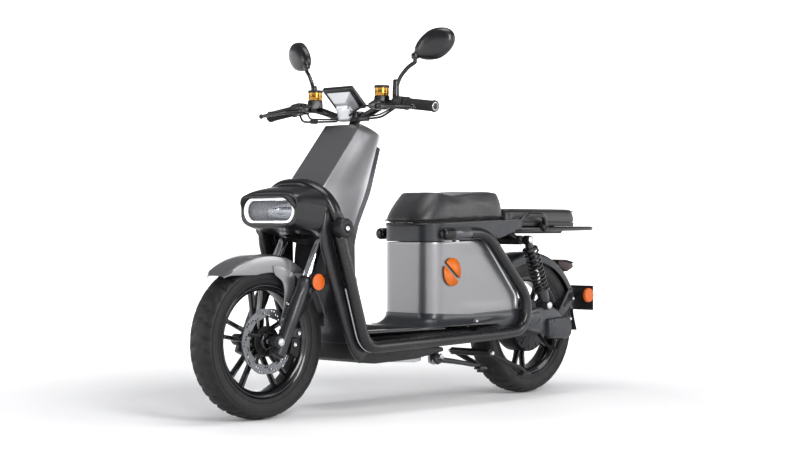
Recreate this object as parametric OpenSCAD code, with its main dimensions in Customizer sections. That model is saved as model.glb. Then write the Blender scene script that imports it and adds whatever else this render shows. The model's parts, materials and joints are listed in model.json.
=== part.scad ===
// Electric moped scooter: two 12 inch wheels, tubular side loops, hub motor, twin rear shocks.
// Millimetres. +X forward, +Y the rider's left, +Z up. Origin on the ground under the middle.

/* [Wheels] */
// Distance between the two axles
wheelbase = 1170; // [1160:1:1180]
// Outer diameter of both tyres
tyre_d = 449; // [445:1:451]
// Width of both tyres
tyre_w = 90; // [84:1:92]
// Diameter over the rim flanges
rim_d = 330; // [326:1:332]
// Half width of the flat crown that stands on the ground
crown_half = 20; // [14:1:22]
// Brake disc diameter
disc_d = 190; // [180:1:200]
// Spoke pairs in each wheel
spoke_pairs = 5; // [4:1:6]

/* [Steering] */
// Steering axis angle from the vertical, in degrees
caster = 27; // [26:0.5:28]
// Fork leg spacing from the centre plane
leg_y = 80; // [78:1:84]
// Axle lead in front of the fork legs
axle_lead = 24; // [22:1:26]
// Fork legs in front of the steering axis
clamp_offset = 34; // [32:1:36]
// Overall width over the grips
bar_w = 710; // [700:1:720]
// Handlebar tube diameter
bar_d = 22; // [20:1:24]
// Grip diameter
grip_d = 32; // [30:1:34]
// Height of the grips above the ground
grip_z = 903; // [898:1:908]

/* [Body] */
// Diameter of the side loop tubes
loop_d = 36; // [32:1:38]
// Side loop distance from the centre plane
loop_y = 162; // [160:1:166]
// Top of the foot well floor
floor_z = 245; // [240:1:250]
// Front face of the battery box
box_front = -29; // [-34:1:-24]
// Half width of the battery box at its front
box_half_front = 113; // [108:1:116]
// Half width of the battery box at its rear
box_half_rear = 138; // [130:1:140]
// Underside of the seat cushion
seat_z = 571; // [569:1:574]
// Seat cushion length
seat_len = 374; // [366:1:378]
// Wall thickness of the moulded covers
wall = 4; // [3:0.5:5]

/* [Hidden] */
$fn = 48;
hull_fn = 32;

tyre_r = tyre_d / 2;
rim_r = rim_d / 2;
axle_x = wheelbase / 2;
// Half the difference between the rear and the front reach puts the origin mid-length
rear_reach = 890;
shift_x = (rear_reach - axle_x - tyre_r) / 2;
axle_z = tyre_r;
steer_x = -(axle_lead + clamp_offset);
leg_x = -axle_lead;
running = 0.05;

// Fork frame: origin on the front axle, local Z up along the legs
clamp_z = 340;
clamp_h = 28;
head_low = 385;
head_high = 700;
stem_r = 15;
head_in_r = 24;
head_out_r = 30;
stanchion_r = 15;
slider_r = 21;
slider_top = 205;
axle_r = 7.5;

// Rear end
swing_x = -290;
swing_z = 205;
swing_r = 8;
shock_top = [-464, 508];
shock_low = [-559, 294];
shock_y = 130;
shock_pin_r = 5;
shock_len = norm(shock_top - shock_low);
shock_tilt = atan2(shock_top[0] - shock_low[0], shock_top[1] - shock_low[1]);
shock_play = 2;

seat_hinge = [-8, 562];
side_pivot = [-40, 122, 146];
side_axis = unit([0.26, -1, -0.5]);
centre_pivot = [-335, 146];

// Cross-section helpers
function unit(v) = v / norm(v);
function ring(r, sides = 16) = [for (k = [0:sides - 1]) r * [cos(360 * k / sides), sin(360 * k / sides)]];
function rectangle(a, b) = [[a, b] / 2, [-a, b] / 2, [-a, -b] / 2, [a, -b] / 2];
function corner(a, b, c, cut, n) =
  let (p = b + unit(a - b) * cut, q = b + unit(c - b) * cut)
  [for (k = [0:n]) let (t = k / n) (1 - t) * (1 - t) * p + 2 * t * (1 - t) * b + t * t * q];
function rounded(path, cut, n = 4) = [
  path[0],
  for (i = [1:len(path) - 2]) each corner(path[i - 1], path[i], path[i + 1], cut, n),
  path[len(path) - 1]
];
function heading(p, i) =
  i == 0 ? unit(p[1] - p[0])
  : i >= len(p) - 1 ? unit(p[len(p) - 1] - p[len(p) - 2])
  : unit(unit(p[i + 1] - p[i]) + unit(p[i] - p[i - 1]));
function square_to(n, t) = unit(n - (n * t) * t);
function mirror_y(path) = [for (p = path) [p[0], -p[1], p[2]]];
function at_y(path, y) = [for (p = path) [p[0], y, p[1]]];

// A closed tube or bar with the given outline, carried along a path
module sweep(path, outline, start = [0, 1, 0]) {
  k = len(outline);
  last = len(path) - 1;
  sides = [
    for (i = 0, n = square_to(start, heading(path, 0)); i <= last;
      i = i + 1, n = square_to(n, heading(path, i))) n
  ];
  polyhedron(
    [for (i = [0:last]) let (t = heading(path, i), b = cross(t, sides[i]))
      for (o = outline) path[i] + o[0] * sides[i] + o[1] * b],
    concat(
      [[for (j = [0:k - 1]) j]],
      [for (i = [0:last - 1]) for (j = [0:k - 1]) let (a = i * k + j, b = i * k + (j + 1) % k)
        each [[a, a + k, b + k], [a, b + k, b]]],
      [[for (j = [k - 1:-1:0]) last * k + j]]
    )
  );
}

// A straight round bar between two points
module rod(a, b, r) {
  v = b - a;
  translate(a) rotate([0, acos(v[2] / norm(v)), atan2(v[1], v[0])]) cylinder(h = norm(v), r = r);
}

// A side profile, given as X and Z, with thickness from y0 to y1
module plate(y0, y1) {
  translate([0, y1, 0]) rotate([90, 0, 0]) linear_extrude(y1 - y0) children();
}

// A round bar along Y, centred on the middle plane
module cross_bar(x, z, r, length) {
  translate([x, length / 2, z]) rotate([90, 0, 0]) cylinder(h = length, r = r);
}

module both_sides() {
  children();
  mirror([0, 1, 0]) children();
}

module frame() {
  translate([shift_x, 0, 0]) children();
}

module fork_frame() {
  frame() translate([axle_x, 0, axle_z]) rotate([0, -caster, 0]) children();
}

module steer_axis() {
  fork_frame() translate([steer_x, 0, 0]) children();
}

module wheel_axis(x) {
  frame() translate([x, 0, axle_z]) rotate([-90, 0, 0]) children();
}

// The convex solid around a list of corner points
module solid_of(points) {
  hull() for (p = points) translate(p) cube(0.4, center = true);
}

// A slab of a given profile line and thickness, as a 2D shape
module strip(line, thick) {
  for (i = [0:len(line) - 2])
    let (d = unit(line[i + 1] - line[i]), n = [-d[1], d[0]] * thick)
    polygon([line[i] - d * 0.5, line[i + 1] + d * 0.5, line[i + 1] + d * 0.5 + n, line[i] - d * 0.5 + n]);
}

// Frame

loop_path = rounded([
  [-58, loop_y - 24, 529], [-238, loop_y - 14, 533], [-426, loop_y, 322], [-408, loop_y, 220],
  [-300, loop_y, 213], [308, loop_y, 196], [351, loop_y, 330], [410, loop_y, 520]
], 40, 5);

module side_tube() {
  color([0.09, 0.09, 0.1]) frame() {
    sweep(loop_path, ring(loop_d / 2, 16));
  }
}
module side_tube_left() side_tube();
module side_tube_right() mirror([0, 1, 0]) side_tube();

boss_x = 404;
boss_z = 546;
hoop_r = 15;
hoop_path = rounded([
  [boss_x, 155, boss_z + 18], [424, 132, 634], [442, 62, 678], [442, -62, 678], [424, -132, 634],
  [boss_x, -155, boss_z + 18]
], 30, 5);
module front_hoop() {
  color([0.1, 0.1, 0.11]) frame() {
    sweep(hoop_path, ring(hoop_r, 14), [1, 0, 0]);
    both_sides() translate([boss_x, 184, boss_z]) rotate([90, 0, 0]) cylinder(h = 40, r = 26);
  }
}

fairing_line = [[432, 556], [438, 508], [406, 426], [362, 318], [340, 252], [306, 196]];
module leg_fairings() {
  color([0.12, 0.12, 0.13]) frame() both_sides()
    sweep(at_y(fairing_line, 133), rectangle(18, 44));
}

rail_y = 50;
rail_top = 540.5;
rail_path = rounded([[284, rail_y, 212], [-330, rail_y, 220], [-352, rail_y, rail_top], [-730, rail_y, rail_top]], 36, 5);
module hoop_arm(r) {
  rod([342, 24, 578], [boss_x, 146, boss_z + 6], r);
}
module main_frame() {
  color([0.15, 0.15, 0.16]) {
    steer_axis() difference() {
      translate([0, 0, head_low]) cylinder(h = head_high - head_low, r = head_out_r);
      translate([0, 0, head_low - 1]) cylinder(h = head_high - head_low + 2, r = head_in_r);
    }
    frame() {
      both_sides() {
        hoop_arm(12);
        sweep(rail_path, ring(12, 12));
        rod([284, rail_y, 212], [284, loop_y - loop_d / 2, 205], 10);
        rod([-352, rail_y, 520], [-300, loop_y - 30, 516], 9);
        difference() {
          plate(46, 56) polygon([[-250, 232], [-330, 232], [-318, 190], [-262, 190]]);
          cross_bar(swing_x, swing_z, swing_r, 200);
        }
      }
      cross_bar(-352, 516, 12, 2 * rail_y);
      cross_bar(-236, 220, 12, 2 * rail_y);
      cross_bar(284, 212, 12, 2 * rail_y);
      difference() {
        cross_bar(shock_top[0], shock_top[1], 15, 2 * (shock_y - 26));
        cross_bar(shock_top[0], shock_top[1], shock_pin_r, 400);
      }
      both_sides() rod([shock_top[0], rail_y, shock_top[1]], [shock_top[0], rail_y, rail_top], 10);
      both_sides() rod([shock_top[0], 90, shock_top[1]], [-430, 66, rail_top], 9);
    }
  }
}

module pivot_pins() {
  color([0.75, 0.75, 0.77]) frame() {
    cross_bar(swing_x, swing_z, swing_r, 176);
    cross_bar(shock_top[0], shock_top[1], shock_pin_r, 2 * shock_y + 30);
    both_sides() translate([shock_top[0], shock_y + 17, shock_top[1]]) rotate([90, 0, 0])
      cylinder(h = 4, r = 10);
    cross_bar(seat_hinge[0], seat_hinge[1], 3, 100);
    cross_bar(centre_pivot[0], centre_pivot[1], 6, 190);
    rod(side_pivot - 14 * side_axis, side_pivot + 26 * side_axis, 6);
  }
}

bearing_h = 14;
module headset_bearings() {
  color("silver") steer_axis()
    for (z = [head_low + 1, head_high - 1 - bearing_h]) translate([0, 0, z])
      difference() {
        cylinder(h = bearing_h, r = head_in_r);
        translate([0, 0, -1]) cylinder(h = bearing_h + 2, r = stem_r + running);
      }
}

// Headlight

lamp_z = 598;
lamp_x = 556;
lamp_half = 107;
lamp_h = 74;
module lamp_outline(grow = 0) {
  // Drawn as Y and Z, then stood up along X
  hull() for (s = [-1, 1]) translate([s * (lamp_half - lamp_h / 2), lamp_z])
    circle(r = lamp_h / 2 + grow, $fn = hull_fn);
}
module along_x(x0, x1) {
  translate([x0, 0, 0]) rotate([90, 0, 90]) linear_extrude(x1 - x0) children();
}
yoke_sweep = 113;
module headlight_cowl() {
  color([0.08, 0.08, 0.09]) frame() difference() {
    union() {
      hull() {
        along_x(500, 552) lamp_outline(13);
        along_x(424, 426) translate([0, 20]) lamp_outline(6);
      }
      intersection() {
        along_x(540, 584) difference() {
          lamp_outline(14);
          lamp_outline(6);
        }
        translate([540, -200, lamp_z]) cube([60, 400, 100]);
      }
      both_sides() hull() {
        translate([470, 100, 560]) cube([40, 24, 60]);
        translate([418, 124, 540]) cube([24, 16, 60]);
      }
    }
    along_x(520, 600) lamp_outline(0.5);
    along_x(470, 530) lamp_outline(-8);
    // Room for the fork yoke to swing
    translate([axle_x, 0, axle_z]) rotate([0, -caster, 0]) translate([steer_x, 0, clamp_z - 12])
      cylinder(h = clamp_h + 18, r = yoke_sweep);
    // Saddles over the hoop and the leg fairings
    sweep(hoop_path, ring(hoop_r + 0.4, 14), [1, 0, 0]);
    both_sides() sweep(at_y(fairing_line, 133), rectangle(18.8, 44.8));
  }
}
module headlight_lens() {
  color([0.85, 0.88, 0.9, 0.6]) frame() along_x(544, lamp_x) lamp_outline(0);
}
module headlight_board() {
  color([0.7, 0.7, 0.72]) frame() {
    along_x(480, 488) lamp_outline(-9);
    for (y = [-66:44:66]) translate([488, y, lamp_z]) rotate([0, 90, 0]) cylinder(h = 30, r1 = 10, r2 = 18);
  }
}

// Front covers

function panel_points(inset) = [
  for (s = [-1, 1]) each [
    [240 - inset, s * (76 - inset), 858 - inset],
    [186 + inset, s * (108 - inset), 830 - inset],
    [400 - inset, s * (79 - inset), 664],
    [416 - inset, s * (79 - inset), 610],
    [258 + inset, s * (118 - inset), 664],
    [320 + inset, s * (126 - inset), 548 + inset],
    [372 - inset, s * (118 - inset), 560 + inset]
  ]
];
panel_mouth = 50;
module front_panel() {
  color([0.55, 0.56, 0.58]) difference() {
    frame() solid_of(panel_points(0));
    frame() solid_of(panel_points(wall));
    // Mouth for the steering stem and the cables
    steer_axis() translate([0, 0, 600]) cylinder(h = 200, r = panel_mouth);
    // Room for the head tube
    steer_axis() translate([0, 0, head_low - 4]) cylinder(h = 240, r = head_out_r + 1);
    // Open underside, over the fork
    frame() translate([250, -110, 500]) cube([200, 220, 66]);
    frame() both_sides() hoop_arm(13);
  }
}

shield_line = [[290, floor_z - 5], [316, 342], [326, 430], [316, 520], [252, 664], [180, 826]];
module leg_shield() {
  color([0.42, 0.43, 0.45]) frame() {
    difference() {
      plate(-140, 140) strip(shield_line, wall);
      // Narrower above the hoop
      both_sides() translate([100, 122, 540]) cube([300, 60, 400]);
    }
  }
}

module belly_pan() {
  color([0.1, 0.1, 0.11]) frame() difference() {
    plate(-132, 132) polygon([
      [323.6, 400], [332, 400], [326, 342], [306, 256], [322, 200], [300, 158], [240, 146], [60, 152], [-60, 168],
      [-60, 178], [60, 162], [236, 156], [286, 168], [300, 200], [293.4, 246],
      [317, 342]
    ]);
    // Narrower between the leg fairings
    both_sides() translate([276, 123, 140]) cube([200, 20, 300]);
  }
}

module footboard() {
  color([0.42, 0.43, 0.45]) frame() difference() {
    plate(-142, 142) strip([[-24, 300], [-8, 262], [24, floor_z - 2], [285, floor_z - 2]], -wall);
    both_sides() rod([-200, 160, 250], [300, 160, 236], loop_d / 2);
  }
}

mat_ribs = 9;
module foot_mat() {
  color([0.08, 0.08, 0.08]) frame() {
    translate([40, -118, floor_z - 2]) cube([236, 236, 2]);
    for (i = [0:mat_ribs - 1]) translate([52 + i * 26, -110, floor_z]) cube([12, 220, 1.5]);
  }
}

// Battery box

module box_plan(grow = 0) {
  hull() {
    for (s = [-1, 1]) {
      translate([box_front - 60, s * (box_half_front - 60)]) circle(r = 60 + grow, $fn = hull_fn);
      translate([-420, s * (box_half_rear - 20)]) circle(r = 20 + grow, $fn = hull_fn);
    }
  }
}
module box_cover() {
  color([0.6, 0.61, 0.63]) frame() intersection() {
    translate([0, 0, 262]) linear_extrude(260) difference() {
      box_plan(0);
      box_plan(-wall);
    }
    plate(-200, 200) polygon([
      [20, 272], [20, 503], [-120, 503], [-262, 509], [-400, 330], [-396, 286], [-200, 276]
    ]);
  }
}

band_top = 556;
module seat_box() {
  color([0.16, 0.16, 0.17]) frame() {
    // Band under the seat, with a floor pan that carries the battery
    intersection() {
      translate([0, 0, 480]) linear_extrude(120) difference() {
        box_plan(1);
        box_plan(-9);
      }
      plate(-200, 200) polygon([[20, 504], [20, band_top], [-378, 573], [-378, 552], [-425, 552], [-330, 515],
        [-262, 510], [-120, 504]]);
    }
    // Lower skirt
    intersection() {
      translate([0, 0, 200]) linear_extrude(120) difference() {
        box_plan(2);
        box_plan(-8);
      }
      plate(-200, 200) polygon([[-20, 236], [-20, 271], [-200, 275], [-396, 285], [-402, 240], [-300, 232]]);
    }
    translate([-300, -box_half_front + 16, 236]) cube([250, 2 * box_half_front - 32, wall]);
    // Seat hinge lugs in front of the band
    difference() {
      for (y = [-44, 34]) translate([box_front - 6, y, 546]) cube([27, 10, 20]);
      cross_bar(seat_hinge[0], seat_hinge[1], 3, 200);
    }
    // Battery guides
    both_sides() translate([-290, 92, 240]) cube([220, 4, 120]);
  }
}
module battery_pack() {
  color([0.2, 0.22, 0.25]) frame() {
    translate([-286, -86, 242]) cube([216, 172, 262]);
    rod([-220, -30, 516], [-220, 30, 516], 7);
    for (y = [-30, 30]) rod([-220, y, 500], [-220, y, 516], 6);
  }
}
module motor_controller() {
  color([0.6, 0.6, 0.62]) frame() {
    translate([-330, -42, 384]) cube([38, 84, 116]);
    for (i = [0:7]) translate([-335, -38 + i * 10.5, 392]) cube([6, 3, 100]);
  }
}

// Rear seat and carrier

pad_front = -386;
pad_rear = -738;
module pad_plan(grow = 0) {
  hull() for (s = [-1, 1]) {
    translate([pad_front - 26, s * 84]) circle(r = 26 + grow, $fn = hull_fn);
    translate([pad_rear + 34, s * 74]) circle(r = 34 + grow, $fn = hull_fn);
  }
}
module passenger_pad() {
  color([0.2, 0.2, 0.21]) frame() hull() {
    translate([0, 0, 566]) linear_extrude(28) pad_plan(0);
    translate([0, 0, 594]) linear_extrude(12) pad_plan(-10);
  }
}
carrier_path = rounded([
  [-470, 96, 544], [-640, 104, 543], [-866, 88, 546], [-866, -88, 546], [-640, -104, 543], [-470, -96, 544]
], 40, 5);
handle_path = rounded([[-420, 115, 553], [-452, 138, 590], [-540, 138, 590], [-572, 115, 553]], 22, 4);
module rear_carrier() {
  color([0.1, 0.1, 0.11]) frame() {
    translate([0, 0, 553]) linear_extrude(12) pad_plan(-4);
    sweep(carrier_path, rectangle(26, 14));
    both_sides() {
      sweep(handle_path, ring(8, 10));
      translate([-440, 84, 538]) cube([40, 24, 16]);
      translate([-592, 84, 538]) cube([40, 24, 16]);
    }
  }
}

// Steering column, bars and controls

bar_r = bar_d / 2;
grip_x = 218;
grip_in = 242;
bar_inset = 2;
bar_end = [grip_x, bar_w / 2 - bar_inset, grip_z - 6];
bar_bend = [grip_x, 190, grip_z + 14];
bar_half = [bar_bend, [214, 128, 906], [206, 52, 880]];
bar_path = rounded(concat(bar_half, mirror_y([for (i = [2:-1:0]) bar_half[i]])), 22, 4);
droop = atan2(bar_bend[2] - bar_end[2], bar_end[1] - bar_bend[1]);
module steering_stem() {
  color([0.13, 0.13, 0.14]) steer_axis() {
    translate([0, 0, clamp_z]) cylinder(h = head_high + 58 - clamp_z, r = stem_r);
    difference() {
      translate([0, 0, clamp_z]) linear_extrude(clamp_h) union() {
        circle(r = 30);
        for (s = [-1, 1]) {
          translate([clamp_offset, s * leg_y]) circle(r = 24);
          polygon([[-22, 0], [24, 0], [clamp_offset + 18, s * leg_y], [clamp_offset - 20, s * leg_y]]);
        }
      }
      for (s = [-1, 1]) translate([clamp_offset, s * leg_y, clamp_z - 1]) cylinder(h = clamp_h + 2, r = stanchion_r);
    }
    translate([0, 0, head_high + 1]) cylinder(h = 12, r = 26);
    translate([0, 0, head_low - 15]) cylinder(h = 14, r = 27);
  }
}
module fork_stanchions() {
  color([0.85, 0.86, 0.88]) fork_frame() for (s = [-1, 1])
    translate([leg_x, s * leg_y, slider_top - 100]) cylinder(h = clamp_z + clamp_h - slider_top + 100, r = stanchion_r);
}
module handlebar() {
  color([0.1, 0.1, 0.11]) frame() {
    sweep(bar_path, ring(bar_r - 0.4, 16), [0, 0, 1]);
    both_sides() rod(bar_bend - 6 * unit(bar_end - bar_bend), bar_end, bar_r);
    // Clamp blocks over the stem
    both_sides() translate([190, 20, 878]) cube([32, 22, 17]);
    translate([172, -42, 869]) cube([54, 84, 10]);
  }
}
module grip_frame(side) {
  frame() translate([grip_x, 0, grip_z - 6]) mirror([0, side < 0 ? 1 : 0, 0])
    translate([0, bar_w / 2, -bar_inset * tan(droop)]) rotate([90 - droop, 0, 0]) children();
}
grip_len = 116;
module grip_body(clear) {
  difference() {
    union() {
      cylinder(h = grip_len, r = grip_d / 2);
      translate([0, 0, -1]) cylinder(h = 8, r = grip_d / 2 + 1.5);
      translate([0, 0, grip_len - 5]) cylinder(h = 5, r = grip_d / 2 + 4);
    }
    translate([0, 0, 1.5]) cylinder(h = grip_len, r = bar_r + clear);
  }
}
module left_grip() color([0.1, 0.1, 0.1]) grip_frame(1) grip_body(0);
module throttle_grip() color([0.1, 0.1, 0.1]) grip_frame(-1) grip_body(running);
module at_bar(side, from_end) {
  grip_frame(side) translate([0, 0, from_end]) children();
}
cube_from = grip_len + 3;
module switch_housings() {
  color([0.1, 0.1, 0.11]) for (s = [-1, 1]) at_bar(s, cube_from) difference() {
    hull() for (x = [-13, 17]) for (y = [-17, 17]) translate([x, y, 0]) cylinder(h = 38, r = 5, $fn = hull_fn);
    translate([0, 0, -1]) cylinder(h = 40, r = bar_r);
    // Pockets for the buttons, on the rider's side
    translate([-24, -8, 9]) cube([14, 16, 20]);
  }
}
module button_block(y0, y1, z0, z1) {
  translate([-23, y0, z0]) cube([9, y1 - y0, z1 - z0]);
}
module start_button() color([0.75, 0.1, 0.08]) at_bar(-1, cube_from) button_block(-7, 7, 10, 28);
module horn_button() color([0.5, 0.5, 0.5]) at_bar(1, cube_from) button_block(-7.5, -0.5, 10, 28);
module turn_switch() color([0.6, 0.6, 0.6]) at_bar(1, cube_from) button_block(0.5, 7.5, 14, 24);

reservoir_y = 143;
reservoir_z = 943;
lever_pivot_y = 168;
lever_pivot = [grip_x + 36, lever_pivot_y, 905];
module brake_reservoirs() {
  color([0.75, 0.55, 0.2]) frame() both_sides() {
    translate([222, reservoir_y, reservoir_z - 24]) cylinder(h = 44, r = 19);
    translate([222, reservoir_y, reservoir_z + 20]) cylinder(h = 8, r = 21);
    translate([206, reservoir_y - 14, 896]) cube([32, 28, 26]);
    difference() {
      translate([206, reservoir_y - 12, 893]) cube([60, 50, 26]);
      translate([lever_pivot[0], lever_pivot[1], 880]) cylinder(h = 50, r = 4 + running);
      translate([lever_pivot[0] - 14, lever_pivot[1] - 14, 900]) cube([40, 40, 10]);
      translate([212, lever_pivot[1] - 8, 880]) cube([18, 60, 50]);
    }
  }
}
module brake_lever() {
  color([0.12, 0.12, 0.13]) frame() {
    translate([lever_pivot[0], lever_pivot[1], 893]) cylinder(h = 26, r = 4);
    translate([lever_pivot[0], lever_pivot[1], 900.5]) cylinder(h = 9, r = 12);
    sweep([[lever_pivot[0] + 4, lever_pivot[1] + 6, 905], [282, 205, 903], [286, 270, 898], [281, 324, 894]],
      rectangle(9, 13), [0, 0, 1]);
    translate([281, 326, 894]) sphere(r = 8);
  }
}
module brake_lever_left() brake_lever();
module brake_lever_right() mirror([0, 1, 0]) brake_lever();

pod_top = [262, 969];
pod_low = [202, 914];
pod_half = 62;
module instrument_pod() {
  color([0.08, 0.08, 0.09]) frame() hull() {
    plate(-pod_half, pod_half) polygon([pod_top, pod_low, pod_low + [8, -10], pod_top + [8, -12]]);
    plate(-30, 30) polygon([[222, 902], [222, 914], [256, 920], [250, 902]]);
  }
}
module steering_cover() {
  color([0.62, 0.63, 0.65]) frame() difference() {
    hull() {
      plate(-24, 24) polygon([[229, 868], [240, 870], [246, 904], [229, 904]]);
      plate(-30, 30) polygon([[229, 896], [246, 896], [248, 904], [229, 904]]);
    }
    translate([0, -60, 901]) cube([400, 120, 40]);
  }
}

cable_r = 3.2;
module cable(points, r = cable_r) {
  sweep(rounded(points, 16, 3), ring(r, 8), [0, 0, 1]);
}
module control_cables() {
  color([0.06, 0.06, 0.06]) {
    frame() {
      both_sides() {
        cable([[238, 136, 908], [268, 112, 908], [270, 76, 892], [244, 30, 884]]);
        cable([[230, 206, 899], [250, 170, 872], [262, 100, 873], [240, 30, 873]]);
      }
    }
  }
}

mirror_joint = [174, 233, 1050];
mirror_post_r = 6;
module mirror_stems() {
  color([0.08, 0.08, 0.09]) frame() both_sides() {
    sweep(rounded([[196, 176, 950], [193, 186, 990], [182, 214, 1022], mirror_joint - [0, 0, 16]], 14, 3), ring(6, 12));
    translate([196, 176, 912]) cylinder(h = 74, r1 = 12, r2 = 9);
    translate(mirror_joint - [0, 0, 18]) cylinder(h = 26, r = mirror_post_r);
  }
}
mirror_c = [154, 286, 1091];
mirror_roll = 34;
module mirror_shape(depth) {
  hull() {
    translate([0, 0, -depth / 2]) linear_extrude(depth) scale([1, 0.62]) circle(r = 74, $fn = hull_fn);
    translate([0, 0, -depth]) linear_extrude(1) scale([1, 0.62]) circle(r = 50, $fn = hull_fn);
  }
}
module mirror_head() {
  // Face looks back at the rider, with the long side rising outwards
  color([0.08, 0.08, 0.09]) frame() difference() {
    union() {
      translate(mirror_c) rotate([0, 0, -8]) rotate([0, -90, 0]) rotate([0, 0, 90 - mirror_roll]) mirror_shape(20);
      translate(mirror_joint - [0, 0, 6]) cylinder(h = 18, r = 11);
      rod(mirror_joint + [0, 0, 3], mirror_c, 8);
    }
    translate(mirror_joint - [0, 0, 20]) cylinder(h = 29, r = mirror_post_r + running);
  }
}
module mirror_left() mirror_head();
module mirror_right() mirror([0, 1, 0]) mirror_head();

// Front fork and wheel

module fork_sliders() {
  color([0.4, 0.41, 0.43]) fork_frame() for (s = [-1, 1]) difference() {
    union() {
      translate([leg_x, s * leg_y, -34]) cylinder(h = slider_top + 34, r = slider_r);
      mirror([0, s > 0 ? 0 : 1, 0]) translate([0, leg_y + 16, 0]) rotate([90, 0, 0]) cylinder(h = 32, r = 17);
      mirror([0, s > 0 ? 0 : 1, 0]) translate([leg_x, leg_y - 12, -16]) cube([axle_lead, 27, 32]);
    }
    translate([leg_x, s * leg_y, 60]) cylinder(h = slider_top, r = stanchion_r + running);
    cross_y(axle_r, 400);
  }
}
module cross_y(r, length) {
  translate([0, length / 2, 0]) rotate([90, 0, 0]) cylinder(h = length, r = r);
}
module front_axle() {
  color([0.8, 0.8, 0.82]) fork_frame() {
    cross_y(axle_r, 214);
    for (s = [-1, 1]) translate([0, s > 0 ? 107 : -107, 0]) rotate([s > 0 ? 90 : -90, 0, 0])
      cylinder(h = 10, r = 12, $fn = 6);
  }
}

fender_r = 243;
function arc(r, from, to, steps) = [for (k = [0:steps]) let (a = from + (to - from) * k / steps) r * [cos(a), sin(a)]];
function fender_outline(r_in, r_out, from, to, steps) = concat(arc(r_in, from, to, steps), arc(r_out, to, from, steps));
module front_fender() {
  color([0.55, 0.56, 0.58]) frame() translate([axle_x, 0, axle_z]) {
    plate(-46, 46) polygon(fender_outline(fender_r - 1, fender_r + 3, 40, 148, 18));
    plate(-32, 32) polygon(fender_outline(fender_r - 5, fender_r - 2, 147, 170, 6));
    both_sides() {
      plate(48, 53) polygon(concat(arc(fender_r + 3, 42, 148, 14), [[-92, 80], [-64, 120], [-44, 178], [60, 190],
        [128, 182]]));
      plate(46, 50) polygon(concat(arc(fender_r + 3, 42, 148, 14), arc(fender_r - 12, 148, 42, 14)));
    }
  }
  // Stays bolted to the sliders
  color([0.55, 0.56, 0.58]) fork_frame() for (s = [-1, 1])
    mirror([0, s > 0 ? 0 : 1, 0]) translate([leg_x - 14, 48, 96]) cube([28, 14, 70]);
}
module front_caliper() {
  color([0.1, 0.1, 0.11]) frame() translate([axle_x, 0, axle_z]) difference() {
    plate(30, 58) polygon(concat(arc(64, 176, 206, 4), arc(112, 206, 176, 4)));
    plate(38, 46) polygon(concat(arc(40, 160, 220, 6), arc(100, 220, 160, 6)));
  }
  color([0.1, 0.1, 0.11]) frame() translate([axle_x, 0, axle_z])
    plate(58, 66) polygon([[-110, 6], [-66, 10], [-30, 22], [-30, 34], [-112, 34]]);
}

hub_r = 27;
bearing_r = 15;
module tyre(x) {
  color([0.09, 0.09, 0.09]) wheel_axis(x) rotate_extrude($fn = 96) difference() {
    polygon([
      [rim_r - 6, -31], [rim_r - 6, 31], [rim_r + 4, 37], [rim_r + 18, tyre_w / 2 - 2], [tyre_r - 26, tyre_w / 2],
      [tyre_r - 12, tyre_w / 2 - 5], [tyre_r - 3, tyre_w / 2 - 15], [tyre_r, crown_half], [tyre_r, -crown_half],
      [tyre_r - 3, -tyre_w / 2 + 15], [tyre_r - 12, -tyre_w / 2 + 5], [tyre_r - 26, -tyre_w / 2],
      [rim_r + 18, -tyre_w / 2 + 2], [rim_r + 4, -37]
    ]);
    polygon([
      [rim_r - 8, -26], [rim_r - 8, 26], [rim_r + 18, 36], [tyre_r - 22, 36], [tyre_r - 11, 18],
      [tyre_r - 11, -18], [tyre_r - 22, -36], [rim_r + 18, -36]
    ]);
  }
}
module rim_ring() {
  rotate_extrude($fn = 96) polygon([
    [rim_r - 20, -26], [rim_r - 10, -31.5], [rim_r, -36], [rim_r, -32], [rim_r - 6.2, -31], [rim_r - 6.2, -24],
    [rim_r - 14, -20], [rim_r - 14, 20], [rim_r - 6.2, 24], [rim_r - 6.2, 31], [rim_r, 32], [rim_r, 36],
    [rim_r - 10, 31.5], [rim_r - 20, 26], [rim_r - 22, 0]
  ]);
}
module spokes(inner, tilt, half_w) {
  for (k = [0:spoke_pairs - 1]) rotate([0, 0, k * 360 / spoke_pairs + tilt]) for (s = [-1, 1])
    translate([0, 0, -half_w]) linear_extrude(2 * half_w) polygon([
      [inner, s * 4], [inner, s * 16], [rim_r - 18, s * 30], [rim_r - 18, s * 20]
    ]);
}
module front_rim() {
  color([0.08, 0.08, 0.09]) wheel_axis(axle_x) difference() {
    union() {
      rim_ring();
      cylinder(h = 96, r = hub_r, center = true);
      spokes(hub_r - 3, 90, 12);
    }
    cylinder(h = 200, r = axle_r + running, center = true);
  }
}
module front_disc() {
  color([0.7, 0.7, 0.72]) wheel_axis(axle_x) translate([0, 0, 40]) difference() {
    union() {
      difference() {
        cylinder(h = 4, r = disc_d / 2);
        translate([0, 0, -1]) cylinder(h = 6, r = disc_d / 2 - 27);
      }
      difference() {
        cylinder(h = 4, r = 44);
        translate([0, 0, -1]) cylinder(h = 6, r = hub_r);
      }
      for (k = [0:4]) rotate([0, 0, k * 72]) translate([40, -7, 0]) cube([32, 14, 4]);
    }
    for (k = [0:19]) rotate([0, 0, k * 18]) translate([disc_d / 2 - 8 - 6 * (k % 3), 0, -1])
      cylinder(h = 6, r = 2.6, $fn = 16);
  }
}
module front_tyre() tyre(axle_x);
module rear_tyre() tyre(-axle_x);
motor_r = 92;
module rear_rim() {
  color([0.08, 0.08, 0.09]) wheel_axis(-axle_x) difference() {
    union() {
      rim_ring();
      spokes(motor_r - 2, 60, 12);
    }
    cylinder(h = 200, r = motor_r, center = true);
  }
}
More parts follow.
